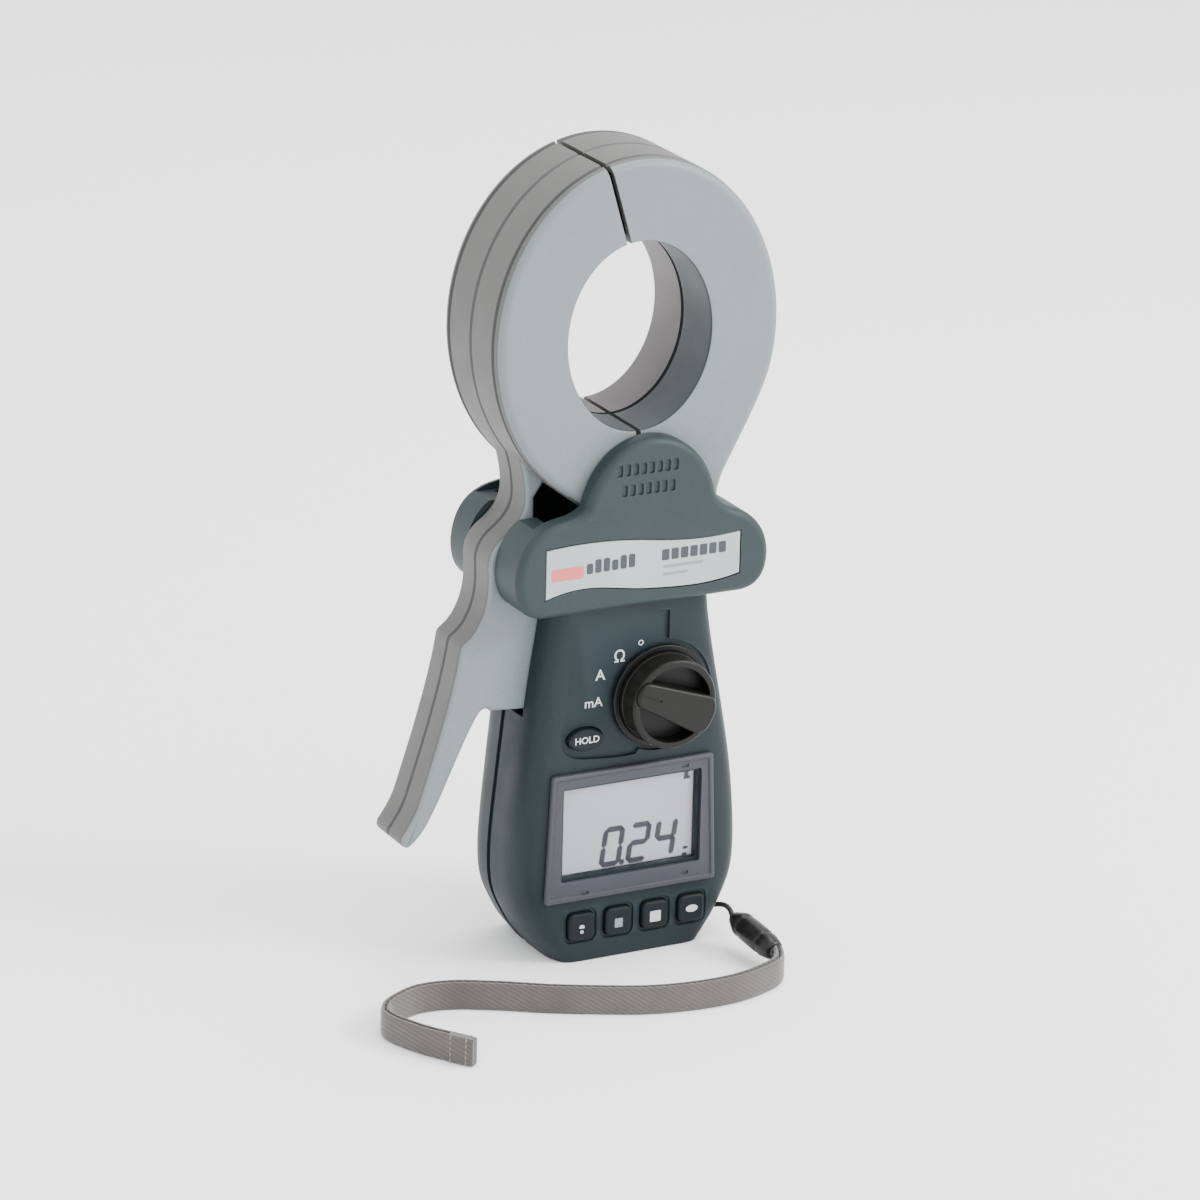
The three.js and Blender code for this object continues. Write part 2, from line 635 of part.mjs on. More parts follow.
add("strap_band", "webbing", strapBand());
add("strap_cord", "black", strapCord());
add("strap_slider", "black", strapSlider());
add("return_spring", "steel", returnSpring());
add("pivot_pin", "steel", pivotPin());
add("display_window", "glass", displayWindowPane());
add("display_module", "display", displayModule());
add("contact_strip_top", "rubber", contactStrip(1));
add("contact_strip_low", "rubber", contactStrip(-1));
add("knob_ring", "black", knobRing());
add("selector_rotor", "black", selectorRotor());
add("key_mat", "rubber", keyMat());
add("buzzer", "black", buzzer());
add("battery", "battery", batteryCell());
add("battery_snap", "black", batterySnap());
add("battery_door_screw", "steel", doorScrew());
add("strap_post", "steel", strapPost());

export default meter;
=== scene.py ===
# The clamp meter's looks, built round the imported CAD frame.
# Metres in Blender; the outlines and dimensions below are in millimetres.
# +X is the viewer's right, the front faces -Y, +Z runs up the meter, and the surface it stands on is z = 0.
import json
import math
import bmesh
import bpy
from mathutils import Matrix, Vector


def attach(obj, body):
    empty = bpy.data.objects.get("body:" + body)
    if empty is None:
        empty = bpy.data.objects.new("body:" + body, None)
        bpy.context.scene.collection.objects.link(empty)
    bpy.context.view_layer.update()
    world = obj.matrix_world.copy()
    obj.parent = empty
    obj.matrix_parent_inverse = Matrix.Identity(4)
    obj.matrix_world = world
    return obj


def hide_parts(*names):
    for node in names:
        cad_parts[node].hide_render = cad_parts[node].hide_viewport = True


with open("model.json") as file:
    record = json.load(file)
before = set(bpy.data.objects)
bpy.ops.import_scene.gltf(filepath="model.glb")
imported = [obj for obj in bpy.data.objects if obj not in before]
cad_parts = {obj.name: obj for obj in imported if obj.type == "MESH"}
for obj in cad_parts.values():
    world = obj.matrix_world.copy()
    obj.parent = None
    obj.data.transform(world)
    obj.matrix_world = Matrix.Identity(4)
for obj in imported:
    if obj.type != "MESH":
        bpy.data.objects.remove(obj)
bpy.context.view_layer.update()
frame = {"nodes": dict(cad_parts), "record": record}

# ---------- driving dimensions, as in the CAD part ----------
MM = 0.001
FAR = 400.0
RING = dict(z=203.0, outer_x=48.4, outer_z=56.0, hole_x=24.5, hole_z=30.0, depth=19.5, edge=3.2)
SPLIT_TOP = (-13.7, 263.0)
SPLIT_LOW = (-4.6, 232.5)
JAW_GAP = 1.7
JAW_WALL = 2.6
LEVER_ROUNDING = 1.6
PIVOT = dict(x=-30.0, z=130.0, hub=8.6, bore=3.3)
LEVER_DEPTH = 9.7
HALF_SEAM = 0.15
BODY = dict(front=-20.5, rear=19.5, seam=2.0, middle=-1.0, top=117.6, wall=2.5)
FRONT_BULGE = 23.0
REAR_BULGE = 23.0
FRONT_BLEND = 2.5
REAR_BLEND = 3.5
BODY_SQUARENESS = 0.5
BODY_OUTLINE = [
    (26.6, 0), (30.6, 5), (34, 10), (38.6, 20), (39.8, 30), (39.2, 43),
    (37.6, 58), (35.6, 72), (33.4, 86), (31, 100), (29.2, 111), (28.6, 117.6),
]
BODY_LEAN = 1.6
LEAN_FADES = dict(start=50, over=55)
WEB_SLOT = dict(low=81.0, high=121.0, inner=-4.0, half=10.3)
GUARD = dict(low=118.0, high=146.0, half=43.8, front=-26.3, rear=23.7)
FRONT_SHIELD = dict(x=2.4, z=145.6, half_width=23.0, half_height=26.6)
REAR_SHIELD = dict(x=2.0, z=145.6, half_width=22.0, half_height=20.0)
CAVITY = dict(left=-30.0, right=30.0, floor=121.0, spring_way=19.0)
DISPLAY = dict(z=43.7, width=47.0, height=29.4, top=64.0, low=21.4, top_half=28.2, low_half=30.0)
KNOB = dict(
    x=9.3, z=85.7, skirt=16.8, rim=15.2, foot=14.9, grip=14.6, scoop=12.4,
    top=-31.0, tip=-32.5, floor=-25.5, shaft=3.4, turn=-24.4,
)
HOLD = dict(x=-16.4, z=74.6, half_width=6.2, half_height=3.6)
KEYS = dict(x=2.8, z=12.0, spacing=13.0, width=9.0, height=9.0, proud=1.2)
DOOR = dict(half=17.5, low=9.6, high=67.0, thick=2.0)
SCREWS = [(-27, 28), (31, 28), (-25, 68), (28.5, 68)]
STRAP = dict(cord=1.7, band=8.8, thick=3.0)
STRAP_ROUTE = [
    (36.3, -53.5), (33.5, -59.5), (27.6, -64), (14.9, -68.3), (0.5, -68.7), (-15.4, -65.7),
    (-29.5, -59.5), (-43.2, -52.4), (-56.3, -44.1), (-69, -37.6), (-79.7, -36.1), (-88, -39.1),
    (-95.1, -44.4), (-97.2, -51.8), (-92.8, -63.6), (-87.1, -72.7), (-82.2, -79.8),
]
CORD_ROUTE = [(34.6, -14.6, 8.6), (36, -18.5, 9.6), (35.2, -23.5, 10), (33.9, -28, 9.6)]
BEAD_ROUTE = [(33.9, -28.6, 9.5), (36.3, -51.6, 6.2)]
LEAD_START = (29.9, -14.6, 8.5)
TAPE_HALF_THICK = 0.62
SEWN_LENGTH = 9.0
SEWN_HALF_THICK = 1.66
CAMERA = dict(
    azimuth=-27.6, elevation=18.7, roll=1.4, distance=1.799, target_z=0.130,
    lens=173.0, shift_x=-0.0054, shift_y=-0.0463,
)


# ---------- camera ----------
def make_camera():
    azimuth, elevation, roll = (math.radians(CAMERA[k]) for k in ("azimuth", "elevation", "roll"))
    target = Vector((0, 0, CAMERA["target_z"]))
    back = Vector((
        math.sin(azimuth) * math.cos(elevation),
        -math.cos(azimuth) * math.cos(elevation),
        math.sin(elevation),
    ))
    level = Vector((math.cos(azimuth), math.sin(azimuth), 0))
    upward = back.cross(level)
    right = level * math.cos(roll) + upward * math.sin(roll)
    up = upward * math.cos(roll) - level * math.sin(roll)
    data = bpy.data.cameras.new("camera")
    data.lens = CAMERA["lens"]
    data.sensor_width = 36.0
    data.shift_x = CAMERA["shift_x"]
    data.shift_y = CAMERA["shift_y"]
    data.clip_end = 50
    camera = bpy.data.objects.new("camera", data)
    turn = Matrix((right, up, back)).transposed().to_4x4()
    camera.matrix_world = Matrix.Translation(target + back * CAMERA["distance"]) @ turn
    bpy.context.scene.collection.objects.link(camera)
    bpy.context.scene.camera = camera


make_camera()


# ---------- mesh helpers ----------
def new_object(name, mesh):
    obj = bpy.data.objects.new(name, mesh)
    bpy.context.scene.collection.objects.link(obj)
    return obj


def from_bmesh(name, bm):
    mesh = bpy.data.meshes.new(name)
    bmesh.ops.recalc_face_normals(bm, faces=bm.faces)
    bm.to_mesh(mesh)
    bm.free()
    return new_object(name, mesh)


def applied(obj):
    graph = bpy.context.evaluated_depsgraph_get()
    mesh = bpy.data.meshes.new_from_object(obj.evaluated_get(graph))
    obj.modifiers.clear()
    old = obj.data
    obj.data = mesh
    bpy.data.meshes.remove(old)
    return obj


def combine(obj, tools, operation):
    for tool in tools:
        modifier = obj.modifiers.new("combine", "BOOLEAN")
        modifier.operation = operation
        modifier.solver = "EXACT"
        modifier.object = tool
        applied(obj)
        bpy.data.objects.remove(tool)
    return obj


def cut(obj, *tools):
    return combine(obj, tools, "DIFFERENCE")


def join(obj, *tools):
    return combine(obj, tools, "UNION")


def within(obj, *tools):
    return combine(obj, tools, "INTERSECT")


def slab(outline, y_front, y_rear, name="slab"):
    """A flat piece whose outline is drawn in the front view, as (x, z) in millimetres."""
    bm = bmesh.new()
    front = [bm.verts.new((x * MM, y_front * MM, z * MM)) for x, z in outline]
    rear = [bm.verts.new((x * MM, y_rear * MM, z * MM)) for x, z in outline]
    bm.faces.new(front)
    bm.faces.new(list(reversed(rear)))
    count = len(outline)
    for i in range(count):
        j = (i + 1) % count
        bm.faces.new((front[j], front[i], rear[i], rear[j]))
    return from_bmesh(name, bm)


def loft(levels, name="loft"):
    """A solid through outlines at different depths: levels lists (outline, y), with equal point counts."""
    bm = bmesh.new()
    rings = [[bm.verts.new((x * MM, y * MM, z * MM)) for x, z in outline] for outline, y in levels]
    for front, rear in zip(rings, rings[1:]):
        for i in range(len(front)):
            j = (i + 1) % len(front)
            bm.faces.new((front[j], front[i], rear[i], rear[j]))
    bm.faces.new(rings[0])
    bm.faces.new(list(reversed(rings[-1])))
    return from_bmesh(name, bm)


def round_rim(obj, y, width, segments=5):
    """Rounds every edge that lies in the plane at depth y."""
    bm = bmesh.new()
    bm.from_mesh(obj.data)
    edges = [edge for edge in bm.edges if all(abs(vert.co.y - y * MM) < 1e-6 for vert in edge.verts)]
    edges = [edge for edge in edges if edge.calc_face_angle(0) > 0.6]
    bmesh.ops.bevel(
        bm, geom=edges, offset=width * MM, offset_type="OFFSET", segments=segments, profile=0.5,
        affect="EDGES", clamp_overlap=False,
    )
    bm.to_mesh(obj.data)
    bm.free()
    return obj


def block(x0, x1, y0, y1, z0, z1, name="block"):
    return slab([(x0, z0), (x1, z0), (x1, z1), (x0, z1)], y0, y1, name)


def lathe(profile, place, direction, steps=64, name="lathe"):
    """A turned piece: profile is (radius, distance along the axis) in millimetres."""
    bm = bmesh.new()
    turn = Vector((0, 0, 1)).rotation_difference(Vector(direction))
    rings = []
    for radius, along in profile:
        if radius < 1e-6:
            rings.append([bm.verts.new(turn @ Vector((0, 0, along * MM)) + Vector(place) * MM)])
            continue
        ring = []
        for step in range(steps):
            angle = 2 * math.pi * step / steps
            point = Vector((radius * math.cos(angle), radius * math.sin(angle), along)) * MM
            ring.append(bm.verts.new(turn @ point + Vector(place) * MM))
        rings.append(ring)
    for low, high in zip(rings, rings[1:]):
        for step in range(steps):
            after = (step + 1) % steps
            if len(low) == 1 and len(high) > 1:
                bm.faces.new((low[0], high[step], high[after]))
            elif len(high) == 1 and len(low) > 1:
                bm.faces.new((low[step], low[after], high[0]))
            elif len(low) > 1:
                bm.faces.new((low[step], low[after], high[after], high[step]))
    if len(rings[0]) > 1 and len(rings[-1]) > 1:
        for step in range(steps):
            after = (step + 1) % steps
            bm.faces.new((rings[-1][step], rings[-1][after], rings[0][after], rings[0][step]))
    return from_bmesh(name, bm)


def rod(x, z, radius, y_front, y_rear, steps=64, name="rod"):
    return slab(oval(x, z, radius, radius, steps), y_front, y_rear, name)


def arc(x, z, half_width, half_height, start, end, steps):
    """Points on an oval arc, with both ends."""
    turns = [start + (end - start) * step / steps for step in range(steps + 1)]
    return [(x + half_width * math.cos(t), z + half_height * math.sin(t)) for t in turns]


def oval(x, z, half_width, half_height, steps):
    """A whole oval's points, the first not repeated."""
    return arc(x, z, half_width, half_height, 0, 2 * math.pi, steps)[:-1]


def bezier(p0, p1, p2, p3, steps=16):
    """Points after p0 on a cubic curve."""
    points = []
    for step in range(1, steps + 1):
        t = step / steps
        u = 1 - t
        weights = (u ** 3, 3 * u * u * t, 3 * u * t * t, t ** 3)
        points.append(tuple(sum(w * p[i] for w, p in zip(weights, (p0, p1, p2, p3))) for i in (0, 1)))
    return points


def quadratic(p0, p1, p2, steps=8):
    first = tuple(p0[i] + 2 / 3 * (p1[i] - p0[i]) for i in (0, 1))
    second = tuple(p2[i] + 2 / 3 * (p1[i] - p2[i]) for i in (0, 1))
    return bezier(p0, first, second, p2, steps)


def trace(start, *stretches):
    """A line from a point through curves: each stretch lists its control points, its end and its steps."""
    points = [start]
    for *controls, steps in stretches:
        curve = bezier if len(controls) == 3 else quadratic
        points += curve(points[-1], *controls, steps)
    return points


def rounded_box(x0, x1, z0, z1, radius, steps=8):
    quarter = math.pi / 2
    left, right, low, high = x0 + radius, x1 - radius, z0 + radius, z1 - radius
    corners = [(right, low, -1), (right, high, 0), (left, high, 1), (left, low, 2)]
    points = []
    for x, z, turn in corners:
        points += arc(x, z, radius, radius, turn * quarter, (turn + 1) * quarter, steps)
    return points


def through(points, steps):
    """A smooth line through points of any dimension, with the same number of steps in each stretch."""
    line = []
    padded = [points[0], *points, points[-1]]
    for p0, p1, p2, p3 in zip(padded, padded[1:], padded[2:], padded[3:]):
        for step in range(steps):
            t = step / steps
            line.append(tuple(
                0.5 * (2 * b + (c - a) * t + (2 * a - 5 * b + 4 * c - d) * t * t
                       + (3 * b - a - 3 * c + d) * t ** 3)
                for a, b, c, d in zip(p0, p1, p2, p3)
            ))
    line.append(tuple(points[-1]))
    return line


def soften(obj, width, segments=3, angle=35):
    """Rounds the edges that are sharper than angle, and shades the rest smooth."""
    modifier = obj.modifiers.new("soften", "BEVEL")
    modifier.width = width * MM
    modifier.segments = segments
    modifier.limit_method = "ANGLE"
    modifier.angle_limit = math.radians(angle)
    modifier.use_clamp_overlap = True
    modifier.miter_outer = "MITER_ARC"
    applied(obj)
    return smooth(obj)


def smooth(obj, angle=40):
    obj.data.shade_smooth()
    obj.data.set_sharp_from_angle(angle=math.radians(angle))
    modifier = obj.modifiers.new("even", "WEIGHTED_NORMAL")
    modifier.keep_sharp = True
    modifier.weight = 60
    return applied(obj)


def turned_to_rear(obj):
    """Mirrors a front half into the rear half."""
    obj.data.transform(Matrix.Scale(-1, 4, (0, 1, 0)))
    obj.data.flip_normals()
    return obj


# ---------- materials ----------
def colour(red, green, blue):
    """Linear colour from the 0-255 values seen on screen."""
    def linear(value):
        value /= 255
        return value / 12.92 if value <= 0.04045 else ((value + 0.055) / 1.055) ** 2.4
    return (linear(red), linear(green), linear(blue), 1)


class Finish:
    """A procedural material: a Principled shader and the nodes that vary it."""

    def __init__(self, name, base, roughness, metallic=0.0, specular=0.5):
        self.material = bpy.data.materials.new(name)
        self.material.use_nodes = True
        self.tree = self.material.node_tree
        self.shader = self.tree.nodes["Principled BSDF"]
        self.shader.inputs["Base Color"].default_value = base
        self.shader.inputs["Roughness"].default_value = roughness
        self.shader.inputs["Metallic"].default_value = metallic
        self.shader.inputs["Specular IOR Level"].default_value = specular
        self.base = base
        self.place = self.tree.nodes.new("ShaderNodeTexCoord").outputs["Object"]
        self.height = None
        self.colour_from = None

    def node(self, kind, **values):
        made = self.tree.nodes.new(kind)
        for key, value in values.items():
            made.inputs[key.replace("_", " ").title()].default_value = value
        return made

    def link(self, a, b):
        self.tree.links.new(a, b)

    def noise(self, scale, detail=3.0, stretch=None):
        place = self.place
        if stretch:
            mapping = self.tree.nodes.new("ShaderNodeMapping")
            mapping.inputs["Scale"].default_value = stretch
            self.link(place, mapping.inputs["Vector"])
            place = mapping.outputs["Vector"]
        made = self.node("ShaderNodeTexNoise", scale=scale, detail=detail)
        self.link(place, made.inputs["Vector"])
        return made.outputs["Fac"]

    def ramp(self, fac, low, high, first=(0, 0, 0, 1), last=(1, 1, 1, 1)):
        made = self.tree.nodes.new("ShaderNodeValToRGB")
        made.color_ramp.elements[0].position = low
        made.color_ramp.elements[1].position = high
        made.color_ramp.elements[0].color = first
        made.color_ramp.elements[1].color = last
        self.link(fac, made.inputs["Fac"])
        return made.outputs["Color"]

    def mix(self, fac, towards):
        """Mixes another colour in where fac is high."""
        made = self.tree.nodes.new("ShaderNodeMix")
        made.data_type = "RGBA"
        if self.colour_from:
            self.link(self.colour_from, made.inputs["A"])
        else:
            made.inputs["A"].default_value = self.base
        made.inputs["B"].default_value = towards
        self.link(fac, made.inputs["Factor"])
        self.colour_from = made.outputs["Result"]
        self.link(self.colour_from, self.shader.inputs["Base Color"])

    def bump(self, height, strength, distance):
        made = self.node("ShaderNodeBump", strength=strength, distance=distance)
        self.link(height, made.inputs["Height"])
        if self.height:
            self.link(self.height, made.inputs["Normal"])
        self.height = made.outputs["Normal"]
        self.link(self.height, self.shader.inputs["Normal"])

    def vary_roughness(self, fac, low, high):
        made = self.tree.nodes.new("ShaderNodeMapRange")
        made.inputs["To Min"].default_value = low
        made.inputs["To Max"].default_value = high
        self.link(fac, made.inputs["Value"])
        self.link(made.outputs["Result"], self.shader.inputs["Roughness"])

    def edges(self, low, high):
        """High on convex edges."""
        geometry = self.tree.nodes.new("ShaderNodeNewGeometry")
        return self.ramp(geometry.outputs["Pointiness"], low, high)


def shade_of(base, amount):
    return tuple(min(1, c * amount) for c in base[:3]) + (1,)


def moulded(name, base, roughness, grain=1500.0, depth=0.00006, blotch=0.12, edge_lightening=1.25, specular=0.5):
    """Injection-moulded plastic: spark-eroded grain, slight flow blotches and a lighter tone on convex edges.
    """
    finish = Finish(name, base, roughness, specular=specular)
    finish.mix(finish.ramp(finish.noise(35.0, 4.0), 0.35, 0.75), shade_of(base, 1 - blotch))
    finish.mix(finish.ramp(finish.noise(grain, 2.0), 0.45, 0.7), shade_of(base, 1 + blotch * 0.6))
    # Convex edges are mixed towards a lighter tone.
    finish.mix(finish.edges(0.52, 0.6), shade_of(base, edge_lightening))
    finish.vary_roughness(finish.noise(90.0, 4.0), roughness - 0.08, roughness + 0.1)
    finish.bump(finish.noise(grain, 3.0), 0.35, depth)
    finish.bump(finish.noise(grain / 6, 2.0), 0.15, depth * 1.5)
    return finish.material


def metal(name, base, roughness, stretch=(1, 1, 12)):
    finish = Finish(name, base, roughness, metallic=1.0)
    finish.mix(finish.ramp(finish.noise(60.0, 5.0), 0.4, 0.8), shade_of(base, 0.75))
    finish.vary_roughness(finish.noise(300.0, 4.0, stretch), roughness - 0.1, roughness + 0.15)
    finish.bump(finish.noise(900.0, 3.0, stretch), 0.2, 0.00003)
    return finish.material


def display_panel():
    """Grey liquid crystal with a faint warm shift and the fine grid of its polariser."""
    finish = Finish("display_grey", colour(160, 160, 168), 0.35)
    finish.mix(finish.ramp(finish.noise(25.0, 2.0), 0.3, 0.8), colour(150, 149, 161))
    finish.bump(finish.noise(4000.0, 1.0), 0.1, 0.00001)
    return finish.material


def clear_plastic():
    finish = Finish("clear_window", (0.95, 0.96, 0.97, 1), 0.04)
    finish.shader.inputs["Transmission Weight"].default_value = 1.0
    finish.shader.inputs["IOR"].default_value = 1.2
    finish.shader.inputs["Alpha"].default_value = 0.25
    finish.bump(finish.noise(50.0, 1.0), 0.02, 0.00002)
    return finish.material


def webbing():
    """Woven nylon tape: a fine diagonal twill with slight wear."""
    base = colour(86, 82, 78)
    finish = Finish("woven_tape", base, 0.85, specular=0.2)
    finish.shader.inputs["Sheen Weight"].default_value = 0.35
    finish.shader.inputs["Sheen Roughness"].default_value = 0.5
    mapping = finish.tree.nodes.new("ShaderNodeMapping")
    mapping.inputs["Rotation"].default_value = (0.6, 0.9, 0.4)
    finish.link(finish.place, mapping.inputs["Vector"])
    wave = finish.tree.nodes.new("ShaderNodeTexWave")
    wave.inputs["Scale"].default_value = 260.0
    wave.inputs["Distortion"].default_value = 1.5
    wave.inputs["Detail"].default_value = 2.0
    wave.inputs["Detail Scale"].default_value = 3.0
    finish.link(mapping.outputs["Vector"], wave.inputs["Vector"])
    finish.mix(finish.ramp(wave.outputs["Fac"], 0.2, 0.8), shade_of(base, 0.78))
    finish.mix(finish.ramp(finish.noise(60.0, 5.0), 0.4, 0.75), colour(72, 68, 65))
    finish.bump(wave.outputs["Fac"], 0.5, 0.0002)
    finish.bump(finish.noise(3500.0, 2.0), 0.4, 0.0001)
    return finish.material


def foil():
    base = colour(156, 165, 166)
    finish = Finish("label_foil", base, 0.38, metallic=0.25)
    finish.mix(finish.ramp(finish.noise(20.0, 3.0), 0.35, 0.8), colour(142, 152, 154))
    finish.vary_roughness(finish.noise(250.0, 4.0), 0.32, 0.46)
    finish.bump(finish.noise(1200.0, 2.0, (8, 1, 1)), 0.15, 0.00002)
    return finish.material


MATERIALS = {
    "jaw": moulded(
        "jaw_grey", colour(104, 113, 115), 0.5, grain=1100.0, depth=0.00005, blotch=0.07, edge_lightening=1.12,
    ),
    # The jaws' outer sides: a darker, warmer copy of the jaw grey, painted shade.
    "jaw_side": moulded(
        "jaw_side", colour(78, 78, 75), 0.55, grain=1100.0, depth=0.00005, blotch=0.1, edge_lightening=1.12,
    ),
    # Dark colour of the seam chamfers, also laid in the groove behind the front rim as painted shade.
    "jaw_seam_and_groove_shade": moulded("jaw_seam_and_groove_shade", colour(58, 60, 60), 0.6, blotch=0.1),
    # Bore wall of the front halves: darker than the rear halves' bore, painted shade.
    "bore_painted_shade": moulded("bore_painted_shade", colour(46, 54, 56), 0.55, blotch=0.1),
    "bore_rear": moulded("bore_rear", colour(92, 86, 86), 0.55, blotch=0.1),
    "shell": moulded("shell_teal", colour(22, 32, 35), 0.5, edge_lightening=1.4, specular=0.22),
    "guard": moulded("guard_slate", colour(36, 46, 48), 0.5, edge_lightening=1.3, specular=0.25),
    "panel": moulded("panel_dark", colour(32, 42, 46), 0.55, edge_lightening=1.3, specular=0.25),
    "frame": moulded("frame_grey", colour(52, 54, 60), 0.45, edge_lightening=1.25, specular=0.3),
    # The display opening's walls: a shade darker than the frame, painted shade.
    "frame_wall_painted_shade": moulded("frame_wall_painted_shade", colour(48, 50, 57), 0.5, edge_lightening=1.2, specular=0.3),
    "knob": moulded("knob_black", colour(17, 16, 14), 0.38, grain=900.0, edge_lightening=1.5, specular=0.2),
    "black": moulded("satin_black", colour(12, 13, 14), 0.4, edge_lightening=1.5, specular=0.2),
    "key": moulded("key_dark", colour(15, 22, 24), 0.55, edge_lightening=1.4, specular=0.2),
    "legend": moulded("legend_grey", colour(186, 190, 190), 0.6, blotch=0.05, edge_lightening=1.0),
    "legend_dim": moulded("legend_dim", colour(120, 128, 130), 0.6, blotch=0.05, edge_lightening=1.0),
    "print_dark": moulded("print_dark", colour(44, 50, 54), 0.6, blotch=0.05, edge_lightening=1.0),
    "print_red": moulded("print_red", colour(196, 96, 92), 0.5, blotch=0.06, edge_lightening=1.0),
    "label": foil(),
    "window": clear_plastic(),
    "display": display_panel(),
    "segment": moulded("segment_ink", colour(28, 28, 42), 0.4, blotch=0.05, edge_lightening=1.0),
    "board": moulded("board_green", colour(34, 92, 60), 0.35, grain=500.0),
    "steel": metal("plated_steel", colour(160, 162, 165), 0.3),
    "core": metal("core_steel", colour(120, 118, 114), 0.45, (1, 40, 1)),
    "copper": metal("copper_winding", colour(176, 110, 64), 0.35, (30, 1, 30)),
    "battery": moulded("battery_can", colour(50, 52, 60), 0.35, edge_lightening=1.3),
    "rubber": moulded("rubber_black", colour(40, 42, 44), 0.8, grain=2200.0),
    "webbing": webbing(),
    "thread": moulded("thread", colour(112, 106, 100), 0.8, grain=3500.0),
    "cord": moulded("cord_black", colour(26, 27, 28), 0.7, grain=2500.0, depth=0.0001),
    "bead": moulded("bead_black", colour(18, 17, 16), 0.35, edge_lightening=1.5, specular=0.3),
}


def finished(obj, body, finish, slot, *nodes):
    """Gives a piece its material and its body, and hides the CAD nodes it stands for; slot is not used."""
    obj.data.materials.clear()
    obj.data.materials.append(MATERIALS[finish])
    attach(obj, body)
    if nodes:
        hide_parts(*nodes)
    return obj


def printed(name, outlines, y, finish, slot, body="meter", thick=0.06):
    """Flat print or inlay: every outline is its own thin slab, in one object."""
    pieces = [slab(outline, y - thick, y + 0.02) for outline in outlines]
    bm = bmesh.new()
    for piece in pieces:
        bm.from_mesh(piece.data)
        bpy.data.objects.remove(piece)
    return finished(from_bmesh(name, bm), body, finish, slot)


# ---------- strap ----------
def make_strap():
    """The band: two layers of tape standing on edge, drawn together at both ends."""
    middle = STRAP["band"] / 2 + 0.1
    route = through([(x, y, middle) for x, y in STRAP_ROUTE], 8)
    bm = bmesh.new()
    half_high = STRAP["band"] / 2
    for side in (-1, 1):
        sections = []
        for i, point in enumerate(route):
            before, after = route[max(i - 1, 0)], route[min(i + 1, len(route) - 1)]
            along = Vector((after[0] - before[0], after[1] - before[1], 0)).normalized()
            across = Vector((-along.y, along.x, 0))
            near_end = min(i / 10, 1)
            far_end = min((len(route) - 1 - i) / 5, 1)
            apart = 0.06 + 0.18 * min(near_end, far_end) * (0.6 + 0.4 * math.sin(i * 0.11))
            centre = Vector(point) + across * side * (0.72 + apart)
            section = []
            for across_by, up_by in tape_section(TAPE_HALF_THICK, half_high):
                section.append(bm.verts.new((centre + across * across_by + Vector((0, 0, up_by))) * MM))
            sections.append(section)
        for low, high in zip(sections, sections[1:]):
            for step in range(len(low)):
                after = (step + 1) % len(low)
                bm.faces.new((low[step], low[after], high[after], high[step]))
        bm.faces.new(sections[0])
        bm.faces.new(list(reversed(sections[-1])))
    band = smooth(from_bmesh("strap_band_woven", bm), 60)
    finished(band, "meter", "webbing", "webbing", "strap_band")
    sewn = [fold_end(route), stitches(route)]


def tape_section(half_thick, half_high):
    """A flat tape's section, thinner at its woven edges."""
    points = []
    for side in (1, -1):
        for step in range(9):
            height = half_high * (1 - step / 4) * side
            thinning = max(0, abs(height) / half_high - 0.86) / 0.14 * 0.55
            points.append((half_thick * (1 - thinning) * side, height))
    return points


def fold_end(route):
    """The sewn end: the tape turned over itself into a short square block."""
    last, before = Vector(route[-1]), Vector(route[-12])
    along = (last - before).normalized()
    across = Vector((-along.y, along.x, 0))
    start = last - along * SEWN_LENGTH
    bm = bmesh.new()
    rings = []
    for step in range(9):
        reach = step / 8
        half = SEWN_HALF_THICK * (1 - 0.25 * max(0, reach - 0.8) / 0.2)
        centre = start + along * ((SEWN_LENGTH - 0.1) * reach)
        rings.append([
            bm.verts.new((centre + across * s * half + Vector((0, 0, h * (STRAP["band"] / 2 - 0.05)))) * MM)
            for s, h in ((-1, -1), (1, -1), (1, 1), (-1, 1))
        ])
    for low, high in zip(rings, rings[1:]):
        for i in range(4):
            bm.faces.new((low[i], low[(i + 1) % 4], high[(i + 1) % 4], high[i]))
    bm.faces.new(rings[0])
    bm.faces.new(list(reversed(rings[-1])))
    end = soften(from_bmesh("strap_fold", bm), 0.35, 3)
    return finished(end, "meter", "webbing", "webbing")


def stitches(route):
    """Two rows of stitches across the sewn end, on both faces."""
    last, before = Vector(route[-1]), Vector(route[-12])
    along = (last - before).normalized()
    across = Vector((-along.y, along.x, 0))
    bm = bmesh.new()
    for row in (2.2, 7.6):
        for side in (-1, 1):
            for step in range(5):
                up = Vector((0, 0, (step - 2) * 1.9))
                centre = last - along * row + across * side * SEWN_HALF_THICK + up
                matrix = Matrix.Translation(centre * MM)
                scale = Matrix.Diagonal((0.28 * MM, 0.22 * MM, 0.72 * MM, 1))
                bmesh.ops.create_icosphere(bm, subdivisions=2, radius=1, matrix=matrix @ scale)
    return finished(smooth(from_bmesh("strap_stitches", bm)), "meter", "thread", "webbing")


